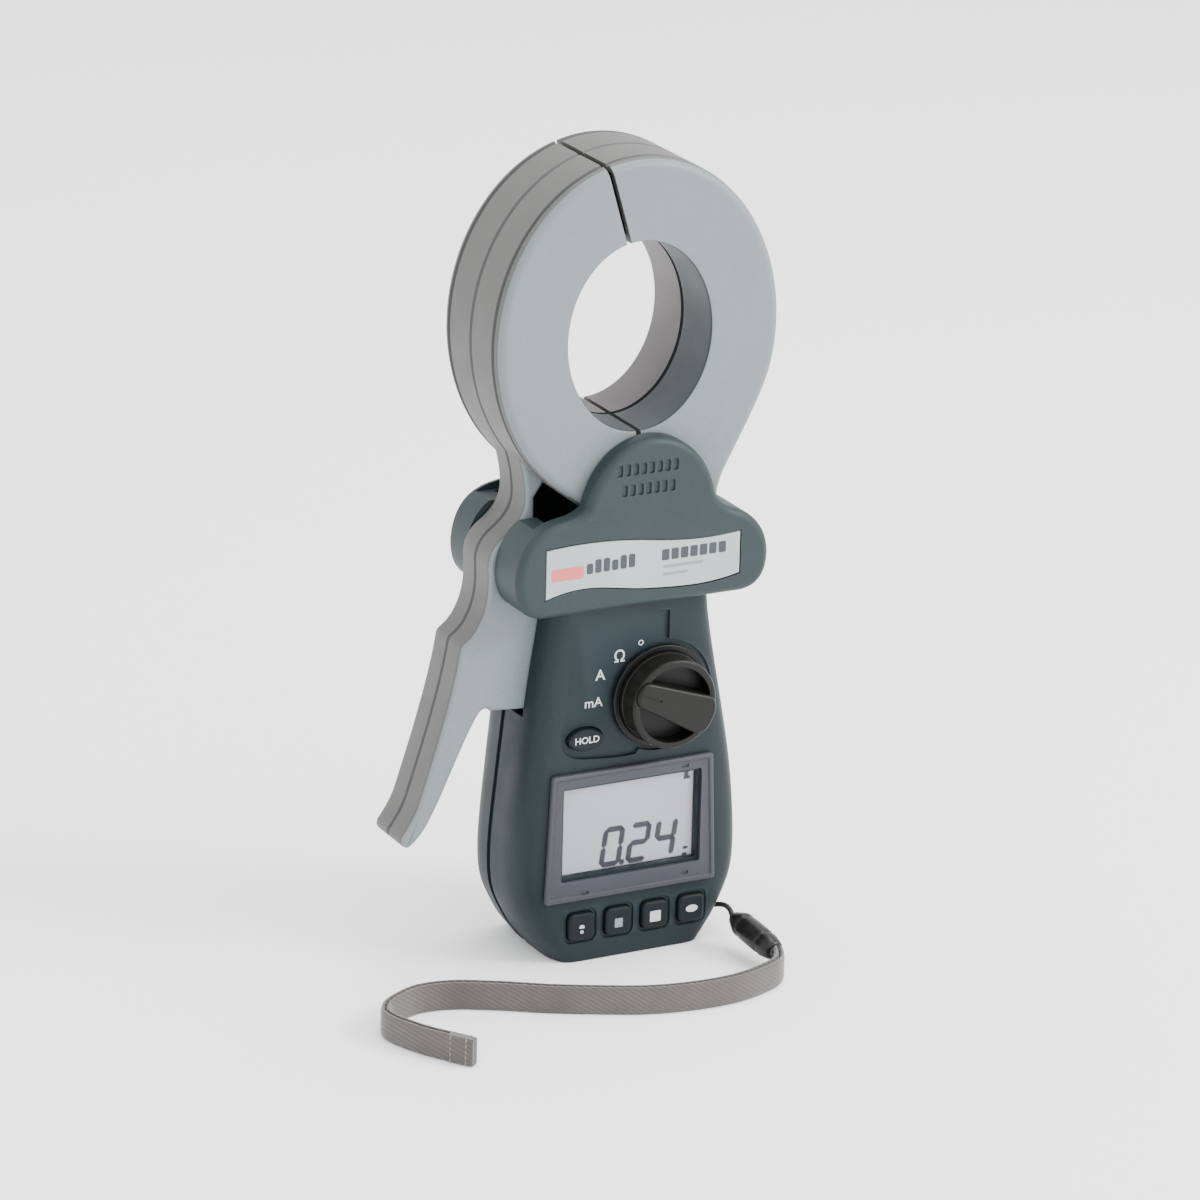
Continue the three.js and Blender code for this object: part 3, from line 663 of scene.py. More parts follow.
def make_cord_and_bead():
    """The bead on the band's near end, and the thin lead from the body into it."""
    start, end = (Vector(p) for p in BEAD_ROUTE)
    length = (end - start).length
    profile = [
        (0.95, 0.2), (1.9, 0.0), (2.3, 0.6), (3.2, 2.6), (4.0, 4.6), (4.1, 5.6), (3.7, 6.4),
        (3.7, 7.2), (4.15, 8.0), (4.18, 12.0), (4.15, 16.2), (3.7, 17.0), (3.7, 17.8), (4.1, 18.6),
        (3.8, 20.4), (3.4, 22.2), (3.0, length - 0.3), (2.2, length), (0.95, length - 0.3),
    ]
    bead = smooth(lathe(profile, start, end - start, 40, "strap_bead"), 50)
    finished(bead, "meter", "bead", "black", "strap_slider")
    data = bpy.data.curves.new("strap_lead", "CURVE")
    data.dimensions = "3D"
    data.bevel_depth = STRAP["cord"] / 2 * MM
    data.bevel_resolution = 4
    data.use_fill_caps = True
    inside = [tuple(start.lerp(end, t)) for t in (0.2, 0.5, 0.8, 0.93)]
    points = through([LEAD_START, *CORD_ROUTE, *inside], 5)
    spline = data.splines.new("POLY")
    spline.points.add(len(points) - 1)
    for place, point in zip(spline.points, points):
        place.co = (*(c * MM for c in point), 1)
    lead = new_object("strap_lead", data)
    data.materials.append(MATERIALS["cord"])
    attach(lead, "meter")
    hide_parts("strap_cord")


make_strap()
make_cord_and_bead()


# ---------- body ----------
BODY_LINE = through(BODY_OUTLINE, 10)


def soft_limit(value, limit, blend):
    """The smaller of two lengths, with a rounded change from one to the other."""
    h = max(blend - abs(value - limit), 0) / blend
    return min(value, limit) - h * h * blend / 4


def squared_off(share):
    """A sine or cosine pushed outwards, which makes a round section boxier."""
    return math.copysign(abs(share) ** BODY_SQUARENESS, share)


def body_form(inset, around=96, name="body_form"):
    """The whole body as one solid, drawn in by inset all round; a negative inset makes it larger."""
    bm = bmesh.new()
    rings = []
    line = BODY_LINE if not inset else BODY_LINE[::3] + [BODY_LINE[-1]]
    for half, height in line:
        z = inset + height / BODY["top"] * (BODY["top"] - inset + 1) if inset else height
        share = min(max((z - LEAN_FADES["start"]) / LEAN_FADES["over"], 0), 1)
        lean = BODY_LEAN * (1 - share * share * (3 - 2 * share))
        ring = []
        for step in range(around):
            angle = 2 * math.pi * step / around
            across = squared_off(math.cos(angle))
            deep = squared_off(math.sin(angle))
            if deep < 0:
                flat = BODY["middle"] - BODY["front"] - inset
                reach = soft_limit(-deep * (FRONT_BULGE - inset), flat, FRONT_BLEND)
                y = BODY["middle"] - reach
            else:
                flat = BODY["rear"] - BODY["middle"] - inset
                reach = soft_limit(deep * (REAR_BULGE - inset), flat, REAR_BLEND)
                y = BODY["middle"] + reach
            ring.append(bm.verts.new(((lean + across * (half - inset)) * MM, y * MM, z * MM)))
        rings.append(ring)
    for below, above in zip(rings, rings[1:]):
        for step in range(around):
            after = (step + 1) % around
            bm.faces.new((below[step], below[after], above[after], above[step]))
    bm.faces.new(list(reversed(rings[0])))
    bm.faces.new(rings[-1])
    return from_bmesh(name, bm)


def key_x(index):
    return KEYS["x"] + (index - 1.5) * KEYS["spacing"]


def key_outline(x, grow=0.0):
    half, tall = KEYS["width"] / 2 + grow, KEYS["height"] / 2 + grow
    return rounded_box(x - half, x + half, KEYS["z"] - tall, KEYS["z"] + tall, 2 + grow * 0.5)


def panel_outline():
    """The sunk panel round the selector and the hold key."""
    points = trace(
        (12.2, 113.4),
        ((2, 114), (-8, 118), (-22.6, 116.4), 20),
        ((-22.8, 104), (-22.4, 94), (-23.2, 84), 14),
        ((-24, 80), (-25.4, 78), (-24.9, 74.6), 8),
        ((-24.4, 69.6), (-20.4, 68.2), (-15, 67.8), 10),
        ((-8, 67.2), (-4, 66.6), (1.5, 67.2), 10),
    )
    points += arc(KNOB["x"], KNOB["z"], 18.4, 18.4, math.radians(-112), math.radians(81), 40)
    return points


def seam_groove():
    """The groove round the body where its two halves meet."""
    around = cut(body_form(-1.5), body_form(0.9))
    return within(around, block(-FAR, FAR, BODY["seam"] - 1.2, BODY["seam"] + 1.2, -FAR, FAR))


def web_slot():
    """The slot in the body's left side for the web of the moving jaw's lever."""
    half = WEB_SLOT["half"]
    return block(-FAR, WEB_SLOT["inner"], -half, half, WEB_SLOT["low"], WEB_SLOT["high"])


def hold_outline(grow, steps=40):
    return oval(HOLD["x"], HOLD["z"], HOLD["half_width"] + grow, HOLD["half_height"] + grow, steps)


def make_front_shell():
    front, behind = BODY["front"], -14
    shell = cut(body_form(0, name="front_shell"), body_form(BODY["wall"], 48))
    shell = within(shell, block(-FAR, FAR, -FAR, BODY["seam"] - HALF_SEAM, -FAR, FAR))
    slot = web_slot()
    half, tall = DISPLAY["width"] / 2, DISPLAY["height"] / 2
    window = block(-half, half, -FAR, -10, DISPLAY["z"] - tall, DISPLAY["z"] + tall)
    hold = slab(hold_outline(0.3), -FAR, behind)
    hold_dish = slab(hold_outline(1.3), -FAR, front + 1.1)
    panel = slab(panel_outline(), -FAR, front + 1.1)
    keys = [slab(key_outline(key_x(i), 0.3), -FAR, behind) for i in range(4)]
    key_dishes = [slab(key_outline(key_x(i), 1.2), -FAR, front + 0.6) for i in range(4)]
    strap_hole = block(28, 44, -16.2, -13, 7, 10.2)
    shaft_hole = rod(KNOB["x"], KNOB["z"], KNOB["shaft"] + 0.3, -FAR, -10, 32)
    cut(shell, slot, window, panel, hold_dish, hold, shaft_hole)
    cut(shell, *key_dishes, *keys, strap_hole, seam_groove())
    soften(shell, 0.35, 2, 40)
    return finished(shell, "meter", "shell", "shell", "front_housing")


def make_rear_shell():
    shell = cut(body_form(0, name="rear_shell"), body_form(BODY["wall"], 48))
    shell = within(shell, block(-FAR, FAR, BODY["seam"] + HALF_SEAM, FAR, -FAR, FAR))
    slot = web_slot()
    half, low, high = DOOR["half"] + 0.3, DOOR["low"] - 0.3, DOOR["high"] + 0.3
    doorway = slab(rounded_box(-half, half, low, high, 2.3), 12, FAR)
    holes = [rod(x, z, 3.1, 5, FAR, 32) for x, z in SCREWS]
    grooves = [block(-12, 12, BODY["rear"] - 0.5, FAR, 76 + 4.2 * i, 77.6 + 4.2 * i) for i in range(8)]
    cut(shell, slot, doorway, *holes, *grooves, seam_groove())
    soften(shell, 0.35, 2, 40)
    return finished(shell, "meter", "shell", "shell", "rear_housing")


def make_battery_door():
    form = body_form(0, name="battery_lid")
    outline = rounded_box(-DOOR["half"], DOOR["half"], DOOR["low"], DOOR["high"], 2)
    lid = within(form, slab(outline, BODY["rear"] - DOOR["thick"], FAR))
    grips = [block(-9, 9, BODY["rear"] - 0.5, FAR, 14 + 2.4 * i, 15.1 + 2.4 * i) for i in range(5)]
    dish = rod(0, DOOR["high"] - 5, 3.6, BODY["rear"] - 0.5, FAR, 40)
    cut(lid, *grips, dish, rod(0, DOOR["high"] - 5, 1.8, 0, FAR, 24))
    soften(lid, 0.3, 2, 40)
    return finished(lid, "battery_cover", "shell", "shell", "battery_door")


make_front_shell()
make_rear_shell()
make_battery_door()


# ---------- jaws ----------
def jaw_side(side):
    """One side of the jaws' outer outline, from the top of the ring down to the middle of its root."""
    if side > 0:
        line = arc(0, RING["z"], RING["outer_x"], RING["outer_z"], math.pi / 2, -0.2343, 60)
        shoulder = ((45.1, 180.5), (38.5, 169.5), (31.3, 156), 16)
        line += trace((47.08, 190), shoulder, ((29.3, 152), (28.8, 148), 6))[1:]
        return line + [(28.8, 123), (0, 123)]
    line = arc(0, RING["z"], RING["outer_x"], RING["outer_z"], math.pi / 2, math.pi + 0.98, 90)
    return line + [(-18, 149.6), (-12, 147), (0, 147)]


def reach_of(line, angle):
    """How far the outline stands from the hole's centre in one direction."""
    along = Vector((math.cos(angle), math.sin(angle)))
    for a, b in zip(line, line[1:]):
        start = Vector((a[0], a[1] - RING["z"]))
        step = Vector((b[0] - a[0], b[1] - a[1]))
        turn = along.x * step.y - along.y * step.x
        if abs(turn) < 1e-9:
            continue
        reach = (start.x * step.y - start.y * step.x) / turn
        share = (start.x * along.y - start.y * along.x) / turn
        if reach > 0 and -1e-6 <= share <= 1 + 1e-6:
            return reach
    return line[-1][1]


def oval_reach(half_x, half_z):
    """How far an oval stands from the hole's centre, as a function of the direction."""
    def reach(angle):
        return 1 / math.hypot(math.cos(angle) / half_x, math.sin(angle) / half_z)
    return reach


def moved_out(reach, distance):
    """The same reach, moved out by a distance in every direction."""
    def further(angle):
        return reach(angle) + distance
    return further


def band(levels, name="band", count=300):
    """A ring about the hole's centre: levels lists its section as (reach in a direction, y) pairs."""
    bm = bmesh.new()
    corners = []
    for step in range(count):
        angle = 2 * math.pi * step / count
        corner = []
        for reach, y in levels:
            far = reach(angle)
            x, z = far * math.cos(angle), RING["z"] + far * math.sin(angle)
            corner.append(bm.verts.new((x * MM, y * MM, z * MM)))
        corners.append(corner)
    for step in range(count):
        here, there = corners[step], corners[(step + 1) % count]
        for i in range(len(levels)):
            j = (i + 1) % len(levels)
            bm.faces.new((here[i], here[j], there[j], there[i]))
    return from_bmesh(name, bm)


def ring_section(outer, hole):
    """A jaw's front half in section: rounded front rims, a groove behind the outer one, seam chamfers."""
    front, edge = -RING["depth"], RING["edge"]
    levels = []
    for step in range(7):
        turn = math.pi / 2 * step / 6
        drop, back = edge * (1 - math.sin(turn)), edge * (1 - math.cos(turn))
        levels.append((moved_out(outer, -drop), front + back))
    groove = ((0.75, front + edge + 0.5), (0.75, front + edge + 1.5), (0.0, front + edge + 2.0))
    for drop, y in (*groove, (0.0, -0.9), (0.6, -HALF_SEAM)):
        levels.append((moved_out(outer, -drop), y))
    for rise, y in ((0.7, -HALF_SEAM), (0.0, -0.9), (0.0, front + 1.0), (0.3, front + 0.3), (1.0, front)):
        levels.append((moved_out(hole, rise), y))
    return levels


def inset_outline(outline, distance):
    """The outline moved inwards everywhere by a distance."""
    count = len(outline)
    turning = sum(outline[i - 1][0] * outline[i][1] - outline[i][0] * outline[i - 1][1] for i in range(count))
    side = 1 if turning > 0 else -1
    moved = []
    for i in range(count):
        here = Vector(outline[i])
        before = (here - Vector(outline[i - 1])).normalized()
        after = (Vector(outline[(i + 1) % count]) - here).normalized()
        along = (before + after).normalized()
        inwards = Vector((-along.y, along.x)) * side
        stretch = max(along.dot(after), 0.5)
        moved.append(tuple(here + inwards * distance / stretch))
    return moved


def side_of_split(side):
    """Everything on one side of the jaws' split, half the gap away from it."""
    shift = side * JAW_GAP / 2
    outline = [
        (shift, 0), (shift, RING["z"]), (SPLIT_LOW[0] + shift, SPLIT_LOW[1]),
        (SPLIT_TOP[0] + shift, SPLIT_TOP[1]), (SPLIT_TOP[0] + shift, FAR), (side * FAR, FAR), (side * FAR, 0),
    ]
    return slab(outline, -FAR, FAR)


def lever_outline():
    points = [(-26, 172)]
    points += trace(
        (-38, 172),
        ((-35.8, 166), (-33.4, 159), (-33.4, 152), 10),
        ((-33.4, 147), (-36.5, 143.5), (-40.5, 140.7), 8),
        ((-44.3, 137.9), (-46, 134.5), (-45.6, 130), 8),
        ((-45.1, 123.5), (-45.9, 117.5), (-48.5, 113.2), 8),
        ((-50, 110), (-53.2, 107.9), 6),
        ((-54.6, 107), (-54.8, 105), 5),
        ((-56.8, 92), (-62.8, 73), (-68.5, 56), 12),
        ((-70, 52), (-74, 46.8), 6),
        ((-74.8, 44.4), (-72.6, 43.2), 6),
        ((-71.6, 42.6), (-71, 43), 4),
        ((-66.5, 46), (-63.3, 52.5), 8),
        ((-59.5, 59), (-51.5, 79), (-47.6, 84), 12),
        ((-45.8, 86), (-43.8, 84), 6),
    )
    points += [(-22, 82.4), (-21.4, 128)]
    points += arc(PIVOT["x"], PIVOT["z"], PIVOT["hub"], PIVOT["hub"], 0, math.pi / 2, 10)
    return points + [(-30.2, 152), (-26, 158)]


def rounded_arm():
    """The front half of the lever, with a rounded front rim and a chamfer at the seam."""
    outline = lever_outline()
    levels = []
    for step in range(6):
        turn = math.pi / 2 * step / 5
        drop = LEVER_ROUNDING * (1 - math.sin(turn))
        back = LEVER_ROUNDING * (1 - math.cos(turn))
        levels.append((inset_outline(outline, drop), -LEVER_DEPTH + back))
    return loft([*levels, (outline, -0.8), (inset_outline(outline, 0.6), -HALF_SEAM)], "lever")


def jaw_half(side):
    """The front half of one jaw: a rounded ring and root, grooved behind its rim and hollow for the core."""
    line = jaw_side(side)

    def outer(angle):
        folded = angle if side * math.cos(angle) >= 0 else math.pi - angle
        return reach_of(line, folded)

    hole = oval_reach(RING["hole_x"], RING["hole_z"])
    ring = band(ring_section(outer, hole))
    channel_out = oval_reach(RING["outer_x"] - JAW_WALL, RING["outer_z"] - JAW_WALL)
    channel_in = oval_reach(RING["hole_x"] + JAW_WALL, RING["hole_z"] + JAW_WALL)
    front = -RING["depth"] + JAW_WALL
    cut(ring, band([(channel_out, front), (channel_out, 1), (channel_in, 1), (channel_in, front)]))
    if side > 0:
        cut(ring, block(5, 26, front, 1, 126, 146))
        return within(ring, side_of_split(side))
    within(ring, side_of_split(side))
    arm = rounded_arm()
    inside = band([(channel_out, -FAR), (channel_out, FAR), (hole, FAR), (hole, -FAR)])
    join(ring, cut(arm, inside))
    return cut(ring, rod(PIVOT["x"], PIVOT["z"], PIVOT["bore"], -FAR, FAR))


def shade_jaw(obj, bore):
    """Gives a jaw's outer sides a darker, warmer colour that is painted shade, its seams a dark colour, its
    groove the same dark colour as painted shade, and the wall of its hole the bore colour, painted darker as
    shade on the front half.
    """
    for finish in ("jaw_side", bore, "black", "jaw_seam_and_groove_shade"):
        obj.data.materials.append(MATERIALS[finish])
    groove = RING["depth"] - RING["edge"]
    for face in obj.data.polygons:
        x, y, z = face.center / MM
        reach = math.hypot(x / RING["hole_x"], (z - RING["z"]) / RING["hole_z"])
        across = abs(face.normal.y)
        in_groove = groove - 2 < abs(y) < groove and across > 0.3
        # Wall of the hole: the bore colour, painted shade on the front half; black at the seam.
        if 0.97 < reach < 1.04 and across < 0.9:
            face.material_index = 3 if abs(y) < 0.9 else 2
        # Seam chamfers are dark; the groove behind the front rim is painted dark as shade.
        elif reach > 1.3 and across < 0.97 and (abs(y) < 0.85 or in_groove):
            face.material_index = 4
        # Outer side walls: their darker colour is painted shade.
        elif reach > 1.3 and across < 0.6:
            face.material_index = 1


def make_jaws():
    for side, name, body in ((-1, "moving_jaw", "moving_jaw"), (1, "fixed_jaw", "meter")):
        front = smooth(jaw_half(side), 30)
        rear = turned_to_rear(new_object(name + "_rear_shell", front.data.copy()))
        front.name = name + "_front_shell"
        finished(front, body, "jaw", "jaw", name + "_front")
        finished(rear, body, "jaw", "jaw", name + "_rear")
        # The front half's bore is painted in shade; the rear half's bore keeps a lighter tone.
        shade_jaw(front, "bore_painted_shade")
        shade_jaw(rear, "bore_rear")


make_jaws()


# ---------- guard ----------
def guard_outline(shield):
    end, low, high = GUARD["half"], GUARD["low"], GUARD["high"]
    turn = 0.08 * math.pi
    half_width, half_height = shield["half_width"], shield["half_height"]
    crown = arc(shield["x"], shield["z"], half_width, half_height, turn, math.pi - turn, 48)
    right = quadratic((end - 9, low), (end, low + 1), (end, low + 12), 12)
    right += quadratic((end, low + 12), (end - 0.6, high - 6), (end - 10.3, high - 1.2), 10)
    right += quadratic((end - 10.3, high - 1.2), (crown[0][0] + 1, high + 1.2), crown[0], 6)
    left = quadratic(crown[-1], (crown[-1][0] - 2.4, high + 3.4), (-end + 15.8, high + 2.6), 6)
    left += quadratic((-end + 15.8, high + 2.6), (-end + 1.2, high + 0.8), (-end, low + 13), 10)
    left += quadratic((-end, low + 13), (-end, low + 1), (-end + 9, low), 12)
    return [(-end + 9, low), (end - 9, low), *right[:-1], *crown, *left[:-1]]


def guard_half(reach, shield):
    """A front half of the guard, as deep as reach, hollowed for the jaws' roots, the lever and the pivot."""
    inside = -RING["depth"] - 0.8
    whole = slab(guard_outline(shield), -reach, -HALF_SEAM, "guard")
    round_rim(whole, -reach, 2.8)
    left = CAVITY["left"]
    cavity = block(-1.5, CAVITY["right"], inside, 1, CAVITY["floor"], FAR)
    lever_room = block(left, 0, -WEB_SLOT["half"], 1, CAVITY["floor"], FAR)
    above = block(-FAR, FAR, inside, 1, GUARD["high"], FAR)
    lever_way = block(-FAR, left + 1, -WEB_SLOT["half"], 1, 0, FAR)
    floor_way = block(left, WEB_SLOT["inner"], -CAVITY["spring_way"], 1, 0, FAR)
    pin_seat = rod(PIVOT["x"], PIVOT["z"], PIVOT["bore"], -RING["depth"] - 2.6, 1, 32)
    spring_seat = rod(PIVOT["x"], PIVOT["z"], 6.6, -RING["depth"] - 0.3, 1, 32)
    return cut(whole, cavity, lever_room, above, lever_way, floor_way, pin_seat, spring_seat)


def label_outline(wide=1.0, high=1.0):
    middle = (GUARD["low"] + GUARD["high"]) / 2
    points = trace(
        (-34.6, 124.2),
        ((-20, 129), (-12, 124.6), (2, 123.4), 16),
        ((14, 122.4), (22, 121.8), (33.4, 124.4), 16),
    )
    points += trace(
        (33.4, 138.6),
        ((20, 137.2), (12, 138.2), (2, 139.6), 16),
        ((-10, 141.6), (-22, 142), (-34.6, 140.8), 16),
    )
    return [(x * wide, middle + (z - middle) * high) for x, z in points]


def make_guard():
    front = guard_half(-GUARD["front"], FRONT_SHIELD)
    cut(front, slab(label_outline(), -FAR, GUARD["front"] + 0.8))
    ticks = []
    for height, first, count in ((163.0, -9.6, 8), (156.4, -7.8, 7)):
        for i in range(count):
            x = first + 2.75 * i
            outline = rounded_box(x - 0.95, x + 0.95, height - 1.9, height + 1.9, 0.7, 4)
            ticks.append(slab(outline, GUARD["front"] - 1, GUARD["front"] + 0.55))
    cut(front, *ticks)
    finished(smooth(front, 30), "meter", "guard", "guard", "guard_front")
    rear = turned_to_rear(guard_half(GUARD["rear"], REAR_SHIELD))
    finished(smooth(rear, 30), "meter", "guard", "guard", "guard_rear")
    plate = slab(label_outline(0.988, 0.955), GUARD["front"] - 0.1, GUARD["front"] + 0.7, "label_foil")
    round_rim(plate, GUARD["front"] - 0.1, 0.25, 2)
    finished(smooth(plate, 30), "meter", "label", "label", "label_plate")
    make_label_marks(GUARD["front"] - 0.1)


def make_label_marks(face):
    """Plain bars on the label, where lettering would be."""
    rise = 0.055
    red = [rounded_box(-32.4, -21.4, 130.2, 134.2, 0.6, 3)]
    dark = []
    for i in range(6):
        x = -20.4 + 2.9 * i
        tall = 4.4 if i % 3 else 3.4
        dark.append(rounded_box(x, x + 2.2, 131.2 + rise * i, 131.2 + rise * i + tall, 0.6, 3))
    for i in range(7):
        x = 5.6 + 3.3 * i
        dark.append(rounded_box(x, x + 2.6, 132.2, 135.8, 0.5, 3))
    fine = [rounded_box(6.2, 20.2, 129.6, 130.6, 0.3, 3), rounded_box(6.2, 14.8, 127.2, 128.1, 0.3, 3)]
    printed("label_red_mark", red, face, "print_red", "label")
    printed("label_dark_marks", dark, face, "print_dark", "label")
    printed("label_fine_lines", fine, face, "legend_dim", "label")


make_guard()


# ---------- display ----------
def frame_outline(inset, radius=1.2):
    """The display frame's outline: a little broader at its foot than at its top."""
    low, high = DISPLAY["low"] + inset, DISPLAY["top"] - inset
    low_half, top_half = DISPLAY["low_half"] - inset, DISPLAY["top_half"] - inset
    corners = [(-low_half, low), (low_half, low), (top_half, high), (-top_half, high)]
    points = []
    for i, corner in enumerate(corners):
        before, after = Vector(corners[i - 1]), Vector(corners[(i + 1) % 4])
        here = Vector(corner)
        start = here + (before - here).normalized() * radius
        end = here + (after - here).normalized() * radius
        points += [tuple(start), *quadratic(tuple(start), corner, tuple(end), 5)]
    return points


def window_outline(grow, radius=0.8):
    half, tall = DISPLAY["width"] / 2 + grow, DISPLAY["height"] / 2 + grow
    return rounded_box(-half, half, DISPLAY["z"] - tall, DISPLAY["z"] + tall, radius, 4)


def painted_shade_walls(obj, finish, grow):
    """Gives the side walls of the display opening a slightly darker colour than the frame's face, as painted
    shade.
    """
    obj.data.materials.append(MATERIALS[finish])
    half, tall = DISPLAY["width"] / 2 + grow, DISPLAY["height"] / 2 + grow
    for face in obj.data.polygons:
        x, z = face.center.x / MM, face.center.z / MM
        upright = abs(face.normal.z) < 0.6
        if abs(x) < half and abs(z - DISPLAY["z"]) < tall and abs(face.normal.y) < 0.9 and upright:
            face.material_index = 1


def make_display():
    face = BODY["front"] - 1.9
    shape = slab(frame_outline(0), face, BODY["front"] - 0.3, "display_bezel")
    round_rim(shape, face, 0.6, 3)
    rim = frame_outline(1.3, 0.8)
    tray = loft([(rim, face - 1), (rim, face), (frame_outline(1.75, 0.6), face + 0.55)])
    wide = window_outline(1.0)
    hole = loft([(wide, face - 1), (wide, face + 0.5), (window_outline(0.0), 0)])
    cut(shape, tray, hole)
    notches = []
    for x, z in ((18.5, 61.0), (-16, 23.6), (19.3, 24.8)):
        notches.append(block(x - 1.2, x + 1.2, face - 1, face + 1.0, z - 0.55, z + 0.55))
    cut(shape, *notches)
    finished(smooth(shape, 30), "meter", "frame", "frame", "display_frame")
    # The opening's walls are painted a shade darker, as shade.
    painted_shade_walls(shape, "frame_wall_painted_shade", 1.3)
    half, tall = DISPLAY["width"] / 2 - 0.35, DISPLAY["height"] / 2 - 0.35
    low, high = DISPLAY["z"] - tall, DISPLAY["z"] + tall
    panel = block(-half, half, -18.7, -17.5, low, high, "display_panel")
    join(panel, block(-26, 26, -17.6, -14.9, DISPLAY["z"] - 16, DISPLAY["z"] + 16))
    finished(soften(panel, 0.2, 2), "meter", "display", "display", "display_module")
    pane = slab(window_outline(-0.3), -20.1, -19.5, "display_pane")
    round_rim(pane, -20.1, 0.15, 2)
    finished(smooth(pane, 30), "meter", "window", "window", "display_window")
    make_digits()


def segment(start, end, width=1.9):
    """One bar of a seven-segment digit, pointed at both ends."""
    start, end = Vector(start), Vector(end)
    along = (end - start).normalized()
    across = Vector((-along.y, along.x)) * width / 2
    start, end = start - along * 0.2, end + along * 0.2
    short = along * width / 2
    points = [
        start, start + short - across, end - short - across,
        end, end - short + across, start + short + across,
    ]
    return [tuple(point) for point in points]


def make_digits():
    """The reading, in leaning seven-segment digits, with its decimal point and small signs."""
    tall, wide, pitch, foot, left = 11.6, 5.9, 9.4, 30.6, -9.0
    bars = {
        "a": (0, 2, 1, 2), "b": (1, 1, 1, 2), "c": (1, 0, 1, 1), "d": (0, 0, 1, 0),
        "e": (0, 0, 0, 1), "f": (0, 1, 0, 2), "g": (0, 1, 1, 1),
    }
    outlines = []
    for place, lit in enumerate(("abcdef", "abged", "fgbc")):
        for bar in lit:
            x0, z0, x1, z1 = bars[bar]
            ends = [(left + place * pitch + x * wide, foot + z * tall / 2) for x, z in ((x0, z0), (x1, z1))]
            outlines.append(segment(*ends))
    point = left + wide + 1.4
    outlines.append(rounded_box(point - 0.9, point + 0.9, foot - 0.9, foot + 0.9, 0.6, 4))
    outlines.append([(16.0, 55.2), (18.4, 55.2), (18.4, 56.2), (17.6, 56.2), (17.6, 57.6), (16.0, 57.6)])
    outlines += [rounded_box(19.8, 21.6, 31.4, 32.4, 0.3, 3), rounded_box(19.8, 21.6, 29.3, 30.3, 0.3, 3)]
    lean = math.tan(math.radians(8))
    slanted = [[(x + (z - foot) * lean, z) for x, z in outline] for outline in outlines]
    printed("display_reading", slanted, -18.7, "segment", "display")


make_display()


# ---------- controls ----------
def turned(outline):
    """An outline drawn about the knob's centre, pointing left, turned to where the knob points."""
    cos, sin = math.cos(math.radians(KNOB["turn"])), math.sin(math.radians(KNOB["turn"]))
    return [(KNOB["x"] + x * cos - z * sin, KNOB["z"] + x * sin + z * cos) for x, z in outline]


def bar_outline(grow=0.0):
    reach = KNOB["grip"] - 0.2 + grow
    narrow, broad = 4.2 + grow, 6.4 + grow
    points = [(-reach + 3, -narrow)]
    points += trace(
        (reach - 4, -broad),
        ((reach, -broad + 0.4), (reach, 0), 8),
        ((reach, broad - 0.4), (reach - 4, broad), 8),
    )
    points += trace(
        (-reach + 3, narrow),
        ((-reach, narrow - 0.6), (-reach, 0), 8),
        ((-reach, -narrow + 0.6), (-reach + 3, -narrow), 8),
    )
    return points[:-1]


def make_knob():
    x, z, front = KNOB["x"], KNOB["z"], BODY["front"]
    skirt = rod(x, z, KNOB["foot"], front - 3.4, front - 0.3, 96, "knob_skirt")
    round_rim(skirt, front - 3.4, 0.7, 3)
    grip = rod(x, z, KNOB["grip"], KNOB["top"], front - 3, 96, "knob_grip")
    round_rim(grip, KNOB["top"], 1.0, 4)
    scoop = rod(x, z, KNOB["scoop"], -FAR, KNOB["floor"])
    cut(scoop, slab(turned(bar_outline()), -FAR - 1, FAR))
    cut(grip, scoop)
    bar = slab(turned(bar_outline()), KNOB["tip"], front - 3, "knob_bar")
    round_rim(bar, KNOB["tip"], 1.1, 4)
    shaft = rod(x, z, KNOB["shaft"], front - 1, -12.2, 32)
    knob = join(grip, bar, skirt, shaft)
    line = [(-13.4, -0.45), (-6.0, -0.45), (-6.0, 0.45), (-13.4, 0.45)]
    cut(knob, slab(turned(line), -FAR, KNOB["tip"] + 0.3))
    finished(smooth(knob, 30), "selector", "knob", "knob", "selector_knob")
    ring = rod(x, z, KNOB["skirt"], front - 1.6, front - 0.15, 96, "knob_collar")
    round_rim(ring, front - 1.6, 0.5, 3)
    cut(ring, rod(x, z, KNOB["rim"], -FAR, 0, 96))
    finished(smooth(ring, 30), "meter", "black", "black", "knob_ring")


def lettering(name, text, size, x, z, y, finish, slot, body="meter"):
    """Small printed unit signs, as thin raised print."""
    data = bpy.data.curves.new(name, "FONT")
    data.body = text
    data.size = size * MM
    data.extrude = 0.04 * MM
    data.align_x = "CENTER"
    data.align_y = "CENTER"
    data.resolution_u = 4
    data.offset = 0.04 * MM
    curve = new_object(name + "_curve", data)
    graph = bpy.context.evaluated_depsgraph_get()
    mesh = bpy.data.meshes.new_from_object(curve.evaluated_get(graph))
    bpy.data.objects.remove(curve)
    mesh.transform(Matrix.Translation((x * MM, y * MM, z * MM)) @ Matrix.Rotation(math.pi / 2, 4, "X"))
    return finished(new_object(name, mesh), body, finish, slot)


def make_keys():
    front = BODY["front"] - KEYS["proud"]
    for index in range(4):
        x, body = key_x(index), f"key_{index + 1}"
        cap = slab(key_outline(x), front, -16.4, f"key_cap_{index + 1}")
        round_rim(cap, front, 0.9, 4)
        finished(smooth(cap, 30), body, "key", "black", f"function_key_{index + 1}")
    hold = slab(hold_outline(0, 48), front, -16.4, "hold_cap")
    round_rim(hold, front, 0.9, 4)
    finished(smooth(hold, 30), "hold", "key", "black", "hold_key")
    lettering("hold_legend", "HOLD", 3.1, HOLD["x"], HOLD["z"], front, "legend", "black", "hold")
    key_signs(front)


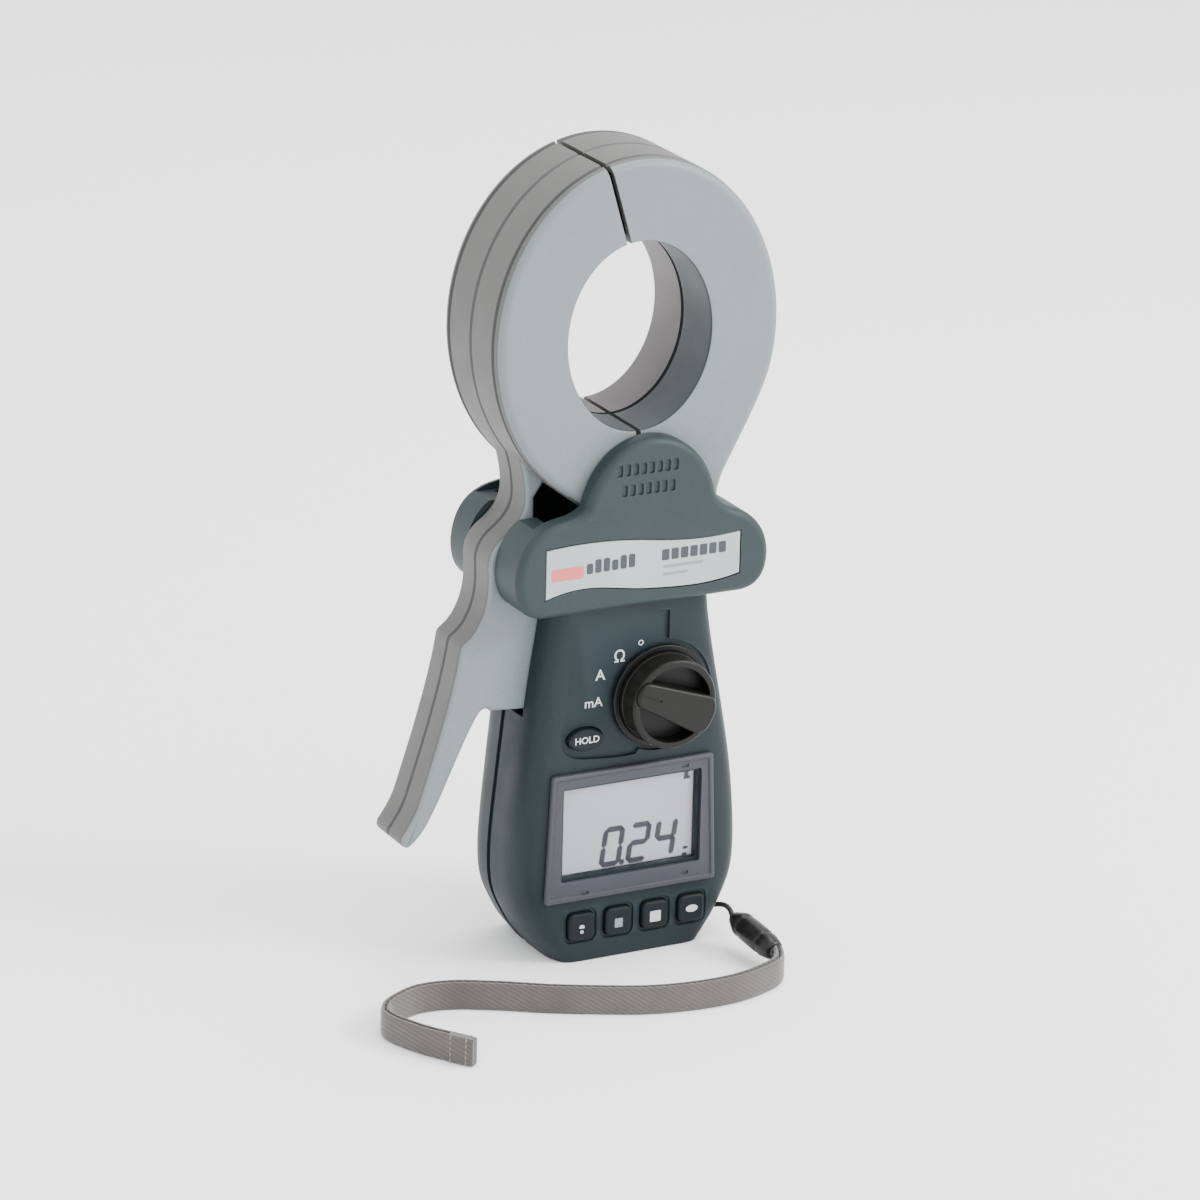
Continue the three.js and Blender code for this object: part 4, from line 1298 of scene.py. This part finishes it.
def key_signs(front):
    """Plain signs on the keys: a lamp, a store, a square and an oval."""
    z = KEYS["z"] - 0.6
    first, second, third, fourth = (key_x(index) for index in range(4))
    lamp = [arc(first, z + 0.5, 0.9, 0.9, -0.3, math.pi + 0.3, 16)]
    lamp += [rounded_box(first - 0.5, first + 0.5, z - 1.5, z - 0.5, 0.2, 3)]
    store = [rounded_box(second - 1.4, second + 1.4, z - 1.5, z + 1.5, 0.3, 3)]
    square = [rounded_box(third - 1.9, third + 1.9, z - 1.7, z + 1.9, 0.4, 3)]
    mark = [oval(fourth, z + 0.6, 2.1, 1.2, 32)]
    for index, outlines in enumerate((lamp, store, square, mark)):
        finish = "legend_dim" if index == 1 else "legend"
        printed(f"key_sign_{index + 1}", outlines, front, finish, "black", f"key_{index + 1}")


def make_dial_marks():
    face = BODY["front"] + 1.06
    lettering("mark_off", "O", 2.4, 2.8, 103.4, face, "legend", "shell")
    lettering("mark_ohm", "\u03a9", 5.4, -4.6, 99.8, face, "legend", "shell")
    lettering("mark_amp", "A", 5.0, -11.2, 94.6, face, "legend", "shell")
    lettering("mark_milliamp", "mA", 4.4, -13.4, 85.8, face, "legend", "shell")


make_knob()
make_keys()
make_dial_marks()


# ---------- stage ----------
def make_stage():
    bm = bmesh.new()
    bmesh.ops.create_grid(bm, x_segments=1, y_segments=1, size=6)
    floor = from_bmesh("floor", bm)
    floor.location.z = -0.0002
    paint = Finish("floor_paint", (0.96, 0.96, 0.96, 1), 0.8)
    paint.mix(paint.ramp(paint.noise(3.0, 2.0), 0.3, 0.8), (0.95, 0.95, 0.955, 1))
    floor.data.materials.append(paint.material)
    world = bpy.data.worlds.new("studio")
    bpy.context.scene.world = world
    world.use_nodes = True
    world.node_tree.nodes["Background"].inputs["Color"].default_value = (0.97, 0.98, 1.0, 1)
    world.node_tree.nodes["Background"].inputs["Strength"].default_value = 2.1


def soft_light(name, place, size, power, target=(0, 0, 0.12)):
    data = bpy.data.lights.new(name, "AREA")
    data.shape = "SQUARE"
    data.size = size
    data.energy = power
    light = new_object(name, data)
    light.location = place
    light.rotation_euler = (Vector(target) - Vector(place)).to_track_quat("-Z", "Y").to_euler()


make_stage()
soft_light("key_light", (1.2, -1.0, 1.1), 0.7, 40)
soft_light("fill_light", (0.2, -1.6, 0.7), 1.0, 5)
soft_light("top_light", (0.3, 0.1, 1.6), 0.9, 18)

for name, node in frame["nodes"].items():
    if not node.hide_render:
        slot = next(s["material_slot"] for s in frame["record"]["subparts"] if s["node"] == name)
        node.data.materials.clear()
        node.data.materials.append(MATERIALS[slot])
